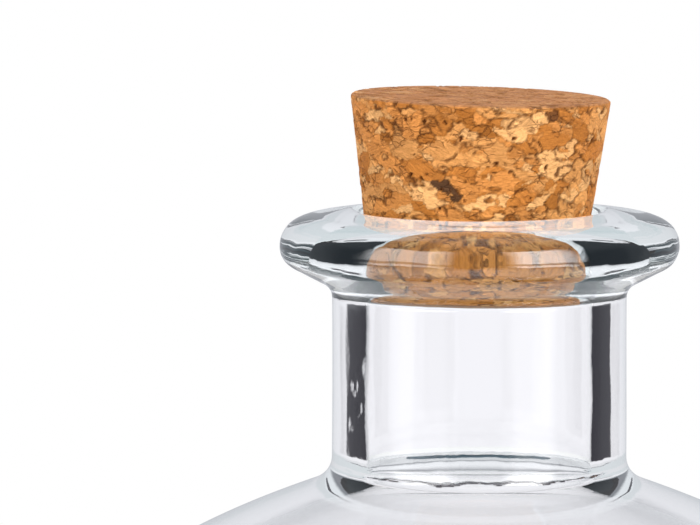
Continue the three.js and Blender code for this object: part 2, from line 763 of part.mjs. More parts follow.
// A triangular headsail set just under a stay, from its tack to its head, with its clew hauled aft and to port.
function jib(stay, tackShare, headShare, clew, belly) {
  const drop = at(-0.35, 0, -0.35);
  const tack = stay.low.clone().lerp(stay.high, tackShare).add(drop);
  const head = stay.low.clone().lerp(stay.high, headShare).add(drop);
  return sheet(
    5,
    6,
    (u, v) => {
      const luff = tack.clone().lerp(head, v);
      const leech = clew.clone().lerp(head, v);
      const p = luff.lerp(leech, u);
      p.y += belly * Math.sin(Math.PI * u) * Math.sin(Math.PI * (0.15 + 0.85 * v));
      return p;
    },
    at(0, CLOTH / 2, 0),
  );
}

// ---------- assembly ----------

function shipGroup() {
  const ship = new THREE.Group();
  ship.position.z = SEA_LEVEL;
  const [fore, main, mizzen] = MASTS;
  ship.add(
    piece("hull", hull(), HULL_PAINT),
    piece("deck", deck(), DECK_WOOD),
    piece("quarterdeck", raisedDeck(-60, QUARTERDECK_FRONT), DECK_WOOD),
    piece("forecastle_deck", raisedDeck(FORECASTLE_BACK, 60), DECK_WOOD),
    piece("cap_rail", capRail(), DARK_WOOD),
    piece("rudder", rudder(), DARK_WOOD),
    piece("bowsprit", bowspritBar(), SPAR_WOOD),
    piece("deckhouse", deckhouse(), WHITE_PAINT),
    piece("deckhouse_roof", deckhouseRoof(), DARK_WOOD),
    piece("lifeboat_port", lifeboat(2), WHITE_PAINT),
    piece("lifeboat_starboard", lifeboat(-2), WHITE_PAINT),
    piece("main_hatch", hatch(11.5, 6.5, 6), DARK_WOOD),
    piece("fore_hatch", hatch(31.5, 4, 4), DARK_WOOD),
    piece("capstan", capstan(), DARK_WOOD),
    piece("wheel_stand", wheelStand(), DARK_WOOD),
    piece("ship_wheel", shipWheel(), BRASS),
    piece("anchor_port", anchor(1), IRON),
    piece("anchor_starboard", anchor(-1), IRON),
    piece("fore_stay", thread(FORE_STAY), THREAD),
    piece("fore_inner_stay", thread(INNER_STAY), THREAD),
    piece("main_stay", innerMastStay(main, fore), THREAD),
    piece("mizzen_stay", innerMastStay(mizzen, main), THREAD),
    piece("outer_jib", jib(FORE_STAY, 0.1, 0.64, at(41, 3.4, 22), 1.2), SAILCLOTH),
    piece("inner_jib", jib(INNER_STAY, 0.08, 0.7, at(34, 1, 17), 0.5), SAILCLOTH),
  );
  for (const mast of MASTS)
    ship.add(
      mastGroup(mast),
      piece(mast.name + "_hinge_staple", staple(mast.x), BRASS),
      piece(mast.name + "_shrouds_port", shrouds(mast, 1), THREAD),
      piece(mast.name + "_shrouds_starboard", shrouds(mast, -1), THREAD),
    );
  return ship;
}

const stopper = piece("cork", cork(), CORK);
stopper.position.set(CORK_SHIFT, 0, CORK_FOOT);
stopper.rotation.y = CORK_TILT;

const shipInABottle = new THREE.Group();
shipInABottle.add(
  piece("bottle", lathe(bottleProfile(), ROUND_SEGMENTS), GLASS),
  stopper,
  piece("sea", sea(), SEA),
  shipGroup(),
);

export default shipInABottle;
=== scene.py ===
"""Looks for the ship in a bottle: a corked flagon of hand-made glass with a square rigger on a
modelled sea inside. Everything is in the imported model's frame: +Z up the bottle's axis, the bow to +X
and port to +Y. Shapes are worked out in millimetres, and MM turns them to metres."""

import math

import bpy
import numpy as np
from mathutils import Euler, Matrix, Vector, noise


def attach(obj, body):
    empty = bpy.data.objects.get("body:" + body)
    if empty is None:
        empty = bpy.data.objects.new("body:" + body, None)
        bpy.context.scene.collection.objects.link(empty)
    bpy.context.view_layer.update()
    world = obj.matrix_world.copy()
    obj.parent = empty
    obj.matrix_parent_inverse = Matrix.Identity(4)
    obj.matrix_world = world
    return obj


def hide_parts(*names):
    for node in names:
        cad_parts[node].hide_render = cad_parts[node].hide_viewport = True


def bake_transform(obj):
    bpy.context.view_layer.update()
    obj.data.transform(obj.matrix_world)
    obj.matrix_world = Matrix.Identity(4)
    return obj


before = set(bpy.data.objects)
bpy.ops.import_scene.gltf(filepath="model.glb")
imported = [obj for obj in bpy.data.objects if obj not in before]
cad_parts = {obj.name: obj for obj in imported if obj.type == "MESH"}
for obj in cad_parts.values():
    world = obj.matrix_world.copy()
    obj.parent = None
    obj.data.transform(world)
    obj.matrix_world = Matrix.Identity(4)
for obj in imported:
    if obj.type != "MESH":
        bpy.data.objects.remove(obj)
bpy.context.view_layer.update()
MM = 0.001
ROOT = "bottle_and_ship"
scene = bpy.context.scene

# ---------- mesh helpers ----------


def in_scene(name, data):
    obj = bpy.data.objects.new(name, data)
    scene.collection.objects.link(obj)
    return obj


def piece(name, verts, faces, material, body, slot, replaced=(), smooth=True):
    """A mesh object in metres that rides on a body, takes a finish and stands for CAD nodes. slot is not
    used.
    """
    mesh = bpy.data.meshes.new(name)
    mesh.from_pydata([tuple(v) for v in verts], [], faces)
    mesh.validate()
    mesh.update()
    obj = in_scene(name, mesh)
    if smooth:
        mesh.polygons.foreach_set("use_smooth", [True] * len(mesh.polygons))
    mesh.materials.append(material)
    if body:
        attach(obj, body)
    if replaced:
        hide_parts(*replaced)
    return obj


def grid_faces(rows, columns, closed):
    """Quads over rows of vertices, each row closed on itself or open."""
    last = columns if closed else columns - 1
    faces = []
    for j in range(rows - 1):
        for i in range(last):
            k = (i + 1) % columns
            a, b = j * columns, (j + 1) * columns
            faces.append((a + i, a + k, b + k, b + i))
    return faces


def turned(profile, segments, shape=None):
    """Vertices and faces of a solid of revolution. The profile runs anticlockwise from the axis to
    the axis, and its two end points become single vertices. shape(r, z, angle, share) may move a
    point."""
    inner = profile[1:-1]
    verts = []
    for n, (r, z) in enumerate(inner):
        share = n / (len(inner) - 1)
        for k in range(segments):
            angle = 2 * math.pi * k / segments
            rr, zz = shape(r, z, angle, share) if shape else (r, z)
            verts.append((rr * math.cos(angle), rr * math.sin(angle), zz))
    faces = grid_faces(len(inner), segments, True)
    first = len(verts)
    verts += [(0, 0, profile[0][1]), (0, 0, profile[-1][1])]
    top = (len(inner) - 1) * segments
    for k in range(segments):
        after = (k + 1) % segments
        faces.append((first, after, k))
        faces.append((first + 1, top + k, top + after))
    return verts, faces


def bezier(points, steps):
    """Points along a quadratic or cubic Bezier curve, without its first one."""
    out = []
    for n in range(1, steps + 1):
        row, t = list(points), n / steps
        while len(row) > 1:
            row = [tuple(a + (b - a) * t for a, b in zip(p, q)) for p, q in zip(row, row[1:])]
        out.append(row[0])
    return out


def arc(centre, radius, start, end, steps):
    """Points along an arc in degrees, without its first one."""
    angles = [math.radians(start + (end - start) * n / steps) for n in range(1, steps + 1)]
    return [(centre[0] + radius * math.cos(a), centre[1] + radius * math.sin(a)) for a in angles]


def line(start, end, step):
    """Points along a line no further apart than step, without its first one."""
    steps = max(1, math.ceil(math.dist(start, end) / step))
    return bezier([start, end], steps)


class Builder:
    """Collects tubes, boxes and other small shapes into one mesh."""

    def __init__(self):
        self.verts, self.faces = [], []

    def add(self, verts, faces):
        base = len(self.verts)
        self.verts += [Vector(v) for v in verts]
        self.faces += [tuple(base + i for i in f) for f in faces]
        return self

    def piece(self, name, *looks, **more):
        return piece(name, self.verts, self.faces, *looks, **more)

    def tube(self, points, radius, sides=8):
        """A round bar along points, closed at both ends. radius is one number or one for each point."""
        points = [Vector(p) for p in points]
        radii = radius if hasattr(radius, "__len__") else [radius] * len(points)
        rings = []
        side = None
        for n, p in enumerate(points):
            ahead = points[min(n + 1, len(points) - 1)] - points[max(n - 1, 0)]
            ahead.normalize()
            if side is None:
                side = ahead.orthogonal().normalized()
            side = (side - ahead * side.dot(ahead)).normalized()
            up = ahead.cross(side)
            for k in range(sides):
                a = 2 * math.pi * k / sides
                rings.append(p + (side * math.cos(a) + up * math.sin(a)) * radii[n])
        faces = grid_faces(len(points), sides, True)
        last = (len(points) - 1) * sides
        faces += [tuple(range(sides - 1, -1, -1)), tuple(range(last, last + sides))]
        return self.add(rings, faces)

    def box(self, low, high):
        low, high = Vector(low), Vector(high)
        corners = [
            (x, y, z) for z in (low.z, high.z) for y in (low.y, high.y) for x in (low.x, high.x)
        ]
        sides = [(0, 2, 3, 1), (4, 5, 7, 6), (0, 1, 5, 4), (2, 6, 7, 3), (0, 4, 6, 2), (1, 3, 7, 5)]
        return self.add(corners, sides)

    def ball(self, centre, radii, rings=8, segments=12):
        profile = arc((0, 0), 1, -90, 90, rings)
        verts, faces = turned([(0, -1)] + profile[:-1] + [(0, 1)], segments)
        centre = Vector(centre)
        return self.add([centre + Vector(v) * Vector(radii) for v in verts], faces)


def bevelled(obj, width, segments=2):
    """Rounds a piece's edges by a bevel."""
    mod = obj.modifiers.new("edges", "BEVEL")
    mod.width, mod.segments, mod.limit_method = width, segments, "ANGLE"
    mod.harden_normals = True
    return obj


# ---------- material helpers ----------


class Nodes:
    """A material's node tree, written as calls: each returns a socket."""

    def __init__(self, tree):
        self.tree = tree

    def make(self, kind, out=0, inputs=None, **settings):
        node = self.tree.nodes.new("ShaderNode" + kind)
        for key, value in settings.items():
            setattr(node, key, value)
        for key, value in (inputs or {}).items():
            if isinstance(value, bpy.types.NodeSocket):
                self.tree.links.new(value, node.inputs[key])
            else:
                node.inputs[key].default_value = value
        return node.outputs[out]

    def math(self, operation, a, b=0.0, clamp=False):
        return self.make("Math", inputs={0: a, 1: b}, operation=operation, use_clamp=clamp)

    def plus(self, a, b, clamp=False):
        return self.math("ADD", a, b, clamp)

    def minus(self, a, b):
        return self.math("SUBTRACT", a, b)

    def times(self, a, b):
        return self.math("MULTIPLY", a, b)

    def absolute(self, a):
        return self.math("ABSOLUTE", a)

    def off_middle(self, lane):
        """0 along the middle of each whole-number lane, rising to 0.5 at its edges."""
        return self.absolute(self.minus(self.math("FRACT", lane), 0.5))

    def place(self, scale=(1000, 1000, 1000), turn=(0, 0, 0), offset=(0, 0, 0)):
        """Object coordinates in millimetres, stretched by scale / 1000."""
        where = self.make("TexCoord", "Object")
        return self.make(
            "Mapping", inputs={"Vector": where, "Scale": scale, "Rotation": turn, "Location": offset}
        )

    def noise(self, where, scale, detail=3.0, rough=0.5, distortion=0.0, out="Fac"):
        sockets = {"Vector": where, "Scale": scale, "Detail": detail, "Roughness": rough}
        return self.make("TexNoise", out, {**sockets, "Distortion": distortion})

    def voronoi(self, where, scale, feature="F1", out="Distance", **more):
        return self.make("TexVoronoi", out, {"Vector": where, "Scale": scale, **more}, feature=feature)

    def ramp(self, fac, stops, interpolation="LINEAR"):
        """A colour ramp. Each stop is a place and a colour."""
        out = self.make("ValToRGB", inputs={"Fac": fac})
        ramp = out.node.color_ramp
        ramp.interpolation = interpolation
        while len(ramp.elements) < len(stops):
            ramp.elements.new(0.5)
        for element, (at, colour) in zip(ramp.elements, stops):
            element.position = at
            element.color = (*colour, 1)
        return out

    def span(self, value, low, high, to_low=0.0, to_high=1.0, smooth=True):
        return self.make(
            "MapRange",
            inputs={0: value, 1: low, 2: high, 3: to_low, 4: to_high},
            interpolation_type="SMOOTHSTEP" if smooth else "LINEAR",
        )

    def mix(self, fac, a, b, blend="MIX"):
        node = self.tree.nodes.new("ShaderNodeMix")
        node.data_type, node.blend_type = "RGBA", blend
        for socket, value in ((node.inputs[0], fac), (node.inputs[6], a), (node.inputs[7], b)):
            if isinstance(value, bpy.types.NodeSocket):
                self.tree.links.new(value, socket)
            elif isinstance(value, tuple):
                socket.default_value = (*value, 1)
            else:
                socket.default_value = value
        return node.outputs[2]

    def bump(self, height, distance, strength=1.0, normal=None):
        sockets = {"Height": height, "Distance": distance, "Strength": strength}
        if normal is not None:
            sockets["Normal"] = normal
        return self.make("Bump", inputs=sockets)


def material(name):
    made = bpy.data.materials.new(name)
    made.use_nodes = True
    made.node_tree.nodes.clear()
    return made, Nodes(made.node_tree)


def surface(nodes, **sockets):
    """A Principled shader wired to a fresh output. Socket names have _ for spaces."""
    shader = nodes.make("BsdfPrincipled", inputs={k.replace("_", " "): v for k, v in sockets.items()})
    out = nodes.tree.nodes.new("ShaderNodeOutputMaterial")
    nodes.tree.links.new(shader, out.inputs["Surface"])
    return shader, out


# ---------- materials ----------


def clear_glass(name, tint, trapped, turns):
    """Thick clear glass. Rays from lamps and off matt things pass straight through. Light that is turned
    back inside the glass more than this many turns leaves it straight, filtered by the trapped colour.
    Where that colour is dark it is painted shade: a dark teal in the lip, with the green of the thick
    glass in it, and a dark grey along the seam."""
    made, n = material(name)
    fine = n.noise(n.place(), 0.5, detail=2)
    shader, out = surface(
        n,
        Base_Color=(*tint, 1),
        Roughness=0.0,
        IOR=1.5,
        Transmission_Weight=1.0,
        Normal=n.bump(fine, 0.000006),
    )
    path = n.tree.nodes.new("ShaderNodeLightPath").outputs
    straight = n.math("MAXIMUM", path["Is Shadow Ray"], path["Is Diffuse Ray"])
    through = n.make("BsdfTransparent", inputs={"Color": (0.93, 0.95, 0.945, 1)})
    lit = n.make("MixShader", inputs={0: straight, 1: shader, 2: through})
    lost = n.math("GREATER_THAN", path["Glossy Depth"], turns)
    dim = n.make("BsdfTransparent", inputs={"Color": (*trapped, 1)})
    n.tree.links.new(n.make("MixShader", inputs={0: lost, 1: lit, 2: dim}), out.inputs["Surface"])
    return made


def agglomerated_cork():
    """Pressed cork granules. Their colours, with a painted highlight just inside each gap, and their gaps
    are on the mesh. Grain, chips and hair cracks are added here."""
    made, n = material("agglomerated_cork")
    colour = n.make("Attribute", "Color", attribute_name="granule_colour")
    gap = n.make("Attribute", "Fac", attribute_name="gap")
    turn = n.make("Attribute", "Fac", attribute_name="granule_turn")
    turned_place = n.make("VectorRotate", 0, {"Vector": n.place(), "Angle": turn}, rotation_type="Y_AXIS")
    shifted = n.make("VectorMath", "Vector", {0: turned_place, 1: turn}, operation="ADD")
    fibre_place = n.make("Mapping", inputs={"Vector": shifted, "Scale": (0.45, 0.45, 2.3)})
    fibre = n.noise(fibre_place, 1.5, detail=5, rough=0.68, distortion=0.4)
    grain = n.noise(n.place((1000, 1000, 1500)), 2.2, detail=5, rough=0.7)
    swirl = n.make("TexNoise", "Color", {"Vector": n.place(), "Scale": 0.9})
    bent = n.mix(0.35, n.place((420, 420, 900)), swirl, "LINEAR_LIGHT")
    crack = n.voronoi(bent, 1.0, feature="DISTANCE_TO_EDGE")
    chip = n.voronoi(bent, 1.0, out="Color")
    patchy = n.span(n.noise(n.place(), 0.28, detail=3), 0.46, 0.6)
    crack = n.times(n.span(crack, 0.05, 0.01), patchy)
    chip = n.make("SeparateXYZ", "X", {"Vector": chip})
    chip_tone = n.ramp(chip, [(0, (0.78, 0.74, 0.7)), (1, (1.2, 1.2, 1.22))])
    fibre_tone = n.ramp(fibre, [(0.3, (0.66, 0.60, 0.52)), (0.7, (1.22, 1.22, 1.22))])
    grain_tone = n.ramp(grain, [(0.33, (0.7, 0.64, 0.58)), (0.5, (1.04, 1.04, 1.04))])
    body = n.mix(n.times(patchy, 0.85), colour, n.mix(1.0, colour, chip_tone, "MULTIPLY"))
    body = n.mix(1.0, body, fibre_tone, "MULTIPLY")
    body = n.mix(0.8, body, grain_tone, "MULTIPLY")
    body = n.mix(n.times(crack, 0.5), body, (0.11, 0.036, 0.010))
    height = n.plus(n.times(fibre, 0.5), n.times(grain, 0.3))
    height = n.minus(height, n.math("MAXIMUM", gap, crack))
    surface(
        n,
        Base_Color=body,
        Roughness=n.span(grain, 0.3, 0.7, 0.62, 0.85),
        Specular_IOR_Level=0.12,
        Normal=n.bump(height, 0.0003),
    )
    return made


def painted_sea():
    """Blue painted putty under varnish, with pale crests and foam along the hull."""
    made, n = material("painted_sea")
    foam = n.make("Attribute", "Fac", attribute_name="foam")
    where = n.place()
    broad = n.noise(where, 0.05, detail=4)
    ripple = n.noise(n.place((1000, 620, 1000)), 0.42, detail=5, rough=0.6, distortion=0.8)
    depths = [(0.3, (0.004, 0.030, 0.055)), (0.55, (0.008, 0.065, 0.105)), (0.75, (0.02, 0.13, 0.17))]
    deep = n.ramp(broad, depths)
    speck = n.times(n.span(ripple, 0.6, 0.74), 0.35)
    white = n.plus(foam, speck, clamp=True)
    fleck = n.span(n.noise(where, 1.6, detail=4, rough=0.7), 0.42, 0.62)
    white = n.times(white, fleck)
    surface(
        n,
        Base_Color=n.mix(white, deep, (0.80, 0.88, 0.90)),
        Roughness=n.span(white, 0, 1, 0.16, 0.6),
        Coat_Weight=0.5,
        Coat_Roughness=0.08,
        Normal=n.bump(ripple, 0.0005),
    )
    return made


def wood(name, dark, light, along="X", planks=None, rough=0.45, coat=0.25):
    """Varnished wood, its grain along an axis, with seams where planks has their width in
    millimetres."""
    made, n = material(name)
    stretch = {"X": (90, 1400, 1400), "Y": (1400, 90, 1400), "Z": (1400, 1400, 90)}[along]
    grain = n.noise(n.place(stretch), 1.3, detail=6, rough=0.62, distortion=0.3)
    colour = n.ramp(grain, [(0.28, dark), (0.72, light)])
    height = grain
    if planks:
        where = n.place()
        across = n.make("SeparateXYZ", "Y", {"Vector": where})
        lane = n.math("DIVIDE", across, planks)
        seam = n.span(n.off_middle(n.plus(lane, 100.0)), 0.42, 0.49)
        tone = n.make("TexWhiteNoise", "Value", {"W": n.math("FLOOR", lane)}, noise_dimensions="1D")
        board_shade = n.ramp(tone, [(0, (0.8, 0.8, 0.8)), (1, (1.1, 1.08, 1.05))])
        colour = n.mix(1.0, colour, board_shade, "MULTIPLY")
        colour = n.mix(seam, colour, (0.03, 0.02, 0.012))
        height = n.minus(n.times(grain, 0.3), seam)
    surface(
        n,
        Base_Color=colour,
        Roughness=n.span(grain, 0.3, 0.7, rough - 0.08, rough + 0.12),
        Coat_Weight=coat,
        Coat_Roughness=0.15,
        Normal=n.bump(height, 0.00008),
    )
    return made


def painted(name, colour, worn, rough=0.4):
    """Brushed paint with a little wear that shows what is under it."""
    made, n = material(name)
    where = n.place()
    brush = n.noise(n.place((160, 900, 900)), 0.9, detail=4)
    wear = n.span(n.noise(where, 0.9, detail=6, rough=0.72), 0.62, 0.72)
    dark, light = tuple(c * 0.82 for c in colour), tuple(min(1, c * 1.12) for c in colour)
    tone = n.ramp(brush, [(0.3, dark), (0.7, light)])
    surface(
        n,
        Base_Color=n.mix(n.times(wear, 0.6), tone, worn),
        Roughness=n.span(brush, 0.3, 0.7, rough - 0.08, rough + 0.14),
        Normal=n.bump(brush, 0.00006),
    )
    return made


HULL_PLANKS, GUNPORT_SPACING, GUNPORT_REACH = 16.0, 6.4, 38.0


def hull_paint():
    """Black topsides with planking seams, a pale gunport stripe and a red-brown bottom."""
    made, n = material("hull_paint")
    where = n.place()
    height = n.make("SeparateXYZ", "Z", {"Vector": where})
    sheer_share = n.make("Attribute", "Fac", attribute_name="depth_share")
    seam = n.span(n.off_middle(n.times(sheer_share, HULL_PLANKS)), 0.40, 0.48)
    brush = n.noise(n.place((200, 1200, 1200)), 1.0, detail=5)
    black = n.ramp(brush, [(0.3, (0.010, 0.009, 0.010)), (0.75, (0.035, 0.030, 0.030))])
    cream = n.ramp(brush, [(0.3, (0.62, 0.52, 0.34)), (0.75, (0.80, 0.71, 0.52))])
    red = n.ramp(brush, [(0.3, (0.16, 0.030, 0.018)), (0.75, (0.26, 0.055, 0.03))])
    band = n.times(n.span(sheer_share, 0.655, 0.665), n.span(sheer_share, 0.785, 0.775))
    along = n.make("SeparateXYZ", "X", {"Vector": where})
    port = n.off_middle(n.math("DIVIDE", along, GUNPORT_SPACING))
    port = n.times(n.span(port, 0.15, 0.13), n.math("LESS_THAN", n.absolute(along), GUNPORT_REACH))
    lid = n.times(n.span(sheer_share, 0.672, 0.682), n.span(sheer_share, 0.768, 0.758))
    striped = n.mix(band, black, n.mix(n.times(port, lid), cream, (0.012, 0.010, 0.010)))
    whole = n.mix(n.span(height, 25.2, 25.5), red, striped)
    whole = n.mix(n.times(seam, 0.45), whole, (0.004, 0.003, 0.003))
    surface(
        n,
        Base_Color=whole,
        Roughness=n.span(brush, 0.3, 0.7, 0.28, 0.42),
        Coat_Weight=0.3,
        Coat_Roughness=0.12,
        Normal=n.bump(n.minus(n.times(brush, 0.3), seam), 0.00007),
    )
    return made


def cloth(name, colour, shade, seams=None):
    """Woven cotton, stiffened, with a light seam between panels where seams has their width in
    millimetres."""
    made, n = material(name)
    where = n.place()
    weave = {"Vector": where, "Scale": 1.9, "Distortion": 0.4}
    warp, weft = (n.make("TexWave", "Fac", weave, bands_direction=way) for way in "ZY")
    threads = n.times(n.plus(warp, weft), 0.5)
    age = n.noise(where, 0.09, detail=5, rough=0.6)
    tone = n.ramp(age, [(0.3, shade), (0.7, colour)])
    tone = n.mix(n.times(threads, 0.12), tone, tuple(c * 0.75 for c in shade))
    height = threads
    if seams:
        across = n.make("SeparateXYZ", "Y", {"Vector": where})
        lane = n.plus(n.math("DIVIDE", across, seams), 100.5)
        seam = n.span(n.off_middle(lane), 0.06, 0.035)
        tone = n.mix(n.times(seam, 0.5), tone, tuple(c * 0.62 for c in shade))
        height = n.plus(threads, seam)
    shader, out = surface(
        n,
        Base_Color=tone,
        Roughness=0.85,
        Sheen_Weight=0.3,
        Normal=n.bump(height, 0.00006),
    )
    lit = n.make("BsdfTranslucent", inputs={"Color": tone})
    n.tree.links.new(n.make("MixShader", inputs={0: 0.22, 1: shader, 2: lit}), out.inputs["Surface"])
    return made


def twisted_thread():
    """Dark tarred thread, its strands shown by slanted bands."""
    made, n = material("rigging_thread")
    slanted = n.place(turn=(0.6, 0.5, 0))
    ply = n.make("TexWave", "Fac", {"Vector": slanted, "Scale": 1.4, "Distortion": 1.0})
    surface(
        n,
        Base_Color=n.ramp(ply, [(0.2, (0.020, 0.013, 0.009)), (0.8, (0.085, 0.058, 0.038))]),
        Roughness=0.85,
        Normal=n.bump(ply, 0.00005),
    )
    return made


def metal(name, dark, light, metallic, rough):
    """Small metalwork, tarnished in cloudy stains."""
    made, n = material(name)
    stain = n.noise(n.place(), 0.8, detail=6, rough=0.65)
    surface(
        n,
        Base_Color=n.ramp(stain, [(0.32, dark), (0.66, light)]),
        Metallic=metallic,
        Roughness=n.span(stain, 0.3, 0.7, rough - 0.08, rough + 0.15),
        Normal=n.bump(stain, 0.00004),
    )
    return made


GLASS = clear_glass("clear_glass", (0.99, 1.0, 1.0), (0.95, 0.97, 0.97), 1.5)
# The lip's dark teal trapped colour is painted shade, with the green of the thick glass in it.
LIP_GLASS = clear_glass("clear_glass_lip", (0.93, 0.985, 0.985), (0.04, 0.065, 0.072), 1.5)
# Nearly black glass for the faces along the seam: a painted shadow line in its wrinkle.
SEAM_SHADOW_GLASS = clear_glass("clear_glass_seam_shadow", (0.012, 0.011, 0.014), (0.2, 0.19, 0.22), 1.5)
CORK = agglomerated_cork()
SEA = painted_sea()
HULL = hull_paint()
DECK = wood("deck_wood", (0.30, 0.17, 0.075), (0.52, 0.33, 0.165), planks=1.3, rough=0.55, coat=0.1)
DARK_WOOD = wood("dark_wood", (0.055, 0.022, 0.011), (0.16, 0.070, 0.034), rough=0.4)
SPAR_UP, SPAR_ACROSS, SPAR_FORWARD = (
    wood("spar_wood_" + name, (0.20, 0.095, 0.035), (0.42, 0.23, 0.095), along=axis, rough=0.4)
    for name, axis in (("up", "Z"), ("across", "Y"), ("bowsprit", "X"))
)
WHITE = painted("white_paint", (0.72, 0.68, 0.58), (0.34, 0.24, 0.14))
SAIL = cloth("sail_cloth", (0.80, 0.71, 0.53), (0.66, 0.55, 0.37), seams=4.6)
JIB = cloth("jib_cloth", (0.80, 0.71, 0.53), (0.66, 0.55, 0.37))
FLAG = cloth("flag_cloth", (0.55, 0.03, 0.035), (0.38, 0.018, 0.022))
THREAD = twisted_thread()
BRASS = metal("brass_wire", (0.38, 0.23, 0.07), (0.72, 0.52, 0.20), 1.0, 0.3)
IRON = metal("black_iron", (0.012, 0.012, 0.014), (0.05, 0.048, 0.05), 0.6, 0.5)

# ---------- bottle ----------

BODY_RADIUS, WALL, BODY_TOP = 76, 4.5, 100
NECK_RADIUS, BORE_RADIUS, NECK_FOOT = 23.7, 18.2, 148.3
LIP_RADIUS, LIP_TOP, MOUTH_TOP = 32.1, 191.9, 192.7
CORNER, INNER_CORNER, FLOOR = 14, 10, 9
PUNT_RIM, PUNT_HEIGHT, FLOOR_RISE, FILLET_RUN = 54, 5, 4, 4
BORE_EDGE = NECK_FOOT + 0.5
SLOPE = math.tan(math.radians(20))
INNER_RADIUS = BODY_RADIUS - WALL
CROWN = (LIP_RADIUS - 6.4, LIP_TOP)  # where the outside of the lip meets its mouth
LIP_FOOT = LIP_TOP - 13
SEAM_LEVEL, SEAM_WANDER, SEAM_DEPTH, SEAM_WIDTH, SEAM_SHADOW_LINE = NECK_FOOT + 1.7, 1.1, 0.8, 0.3, 0.62
DIMPLES = [  # angle round the neck, height, half width and depth
    (math.radians(212), 165.5, 0.55, 0.16),
    (math.radians(215), 162.0, 0.40, 0.12),
    (math.radians(210), 159.5, 0.45, 0.10),
    (math.radians(216), 168.5, 0.35, 0.08),
]


def outer_profile():
    """Radius and height, from the axis along the base and up the outside to the lip's crown."""
    foot, start = BODY_RADIUS - CORNER, NECK_RADIUS + FILLET_RUN
    path = [(0, PUNT_HEIGHT)]
    path += bezier([path[-1], (PUNT_RIM * 0.75, PUNT_HEIGHT), (PUNT_RIM, 0)], 18)
    path += line(path[-1], (foot, 0), 2)
    path += arc((foot, CORNER), CORNER, -90, 0, 12)
    path += line(path[-1], (BODY_RADIUS, BODY_TOP), 3)
    shoulder = [(BODY_RADIUS, BODY_TOP + 26), (start + 25, NECK_FOOT - 25 * SLOPE), (start, NECK_FOOT)]
    path += bezier([path[-1], *shoulder], 44)
    fillet = [(NECK_RADIUS, NECK_FOOT + FILLET_RUN * SLOPE), (NECK_RADIUS, NECK_FOOT + 4.6)]
    path += bezier([path[-1], *fillet], 14)
    path += line(path[-1], (NECK_RADIUS, LIP_TOP - 13.4), 0.8)
    path += bezier([path[-1], (NECK_RADIUS, LIP_TOP - 11.6), (NECK_RADIUS + 2, LIP_TOP - 10.7)], 8)
    path += line(path[-1], (LIP_RADIUS - 2.6, LIP_TOP - 8.7), 0.6)
    path += bezier([path[-1], (LIP_RADIUS, LIP_TOP - 7.6), (LIP_RADIUS, LIP_TOP - 5)], 10)
    path += bezier([path[-1], (LIP_RADIUS, LIP_TOP - 1.9), (LIP_RADIUS - 2.6, LIP_TOP - 0.2), CROWN], 14)
    return path


def inner_profile():
    """From the lip's crown over the mouth and down the inside to the axis."""
    mouth = (BORE_RADIUS + 2.6, MOUTH_TOP - 0.05)
    reach = BORE_RADIUS + FILLET_RUN + 1.8
    foot = NECK_FOOT - WALL / math.cos(math.atan(SLOPE)) + (NECK_RADIUS + FILLET_RUN - reach) * SLOPE
    path = line(CROWN, mouth, 0.8)
    path += bezier([mouth, (BORE_RADIUS + 0.9, MOUTH_TOP + 0.1), (BORE_RADIUS + 0.6, MOUTH_TOP - 1.6)], 10)
    path += line(path[-1], (BORE_RADIUS, LIP_TOP - 6), 0.8)
    path += line(path[-1], (BORE_RADIUS, SEAM_LEVEL + 3), 0.8)
    path += line(path[-1], (BORE_RADIUS, BORE_EDGE + 0.9), 0.14)
    path += bezier([path[-1], (BORE_RADIUS, BORE_EDGE), (BORE_RADIUS + 0.6, BORE_EDGE - 0.86)], 6)
    path += bezier([path[-1], (reach - 2.85, foot + 2.85 * SLOPE), (reach, foot)], 16)
    shoulder = [
        (reach + 25, foot - 25 * SLOPE),
        (INNER_RADIUS, BODY_TOP + 23),
        (INNER_RADIUS, BODY_TOP - 2),
    ]
    path += bezier([path[-1], *shoulder], 44)
    path += line(path[-1], (INNER_RADIUS, FLOOR + INNER_CORNER), 3)
    path += arc((INNER_RADIUS - INNER_CORNER, FLOOR + INNER_CORNER), INNER_CORNER, 0, -90, 10)
    path += line(path[-1], (PUNT_RIM, FLOOR), 2)
    path += bezier([path[-1], (PUNT_RIM * 0.6, FLOOR), (0, FLOOR + FLOOR_RISE)], 14)
    return path


def smoothstep(x, low, high):
    t = min(max((x - low) / (high - low), 0), 1)
    return t * t * (3 - 2 * t)


def seam(angle):
    """Height of the wrinkled line left near the foot of the bore, and how marked it is at this
    angle."""
    c, s = math.cos(angle), math.sin(angle)
    level = SEAM_LEVEL + SEAM_WANDER * noise.noise(Vector((c * 4, s * 4, 2.5)))
    level += 0.35 * noise.noise(Vector((c * 17, s * 17, 8.5)))
    strength = (0.5 + noise.noise(Vector((c * 6, s * 6, 5.5)))) * smoothstep(-s, 0.0, 0.6)
    return level, max(strength, 0)


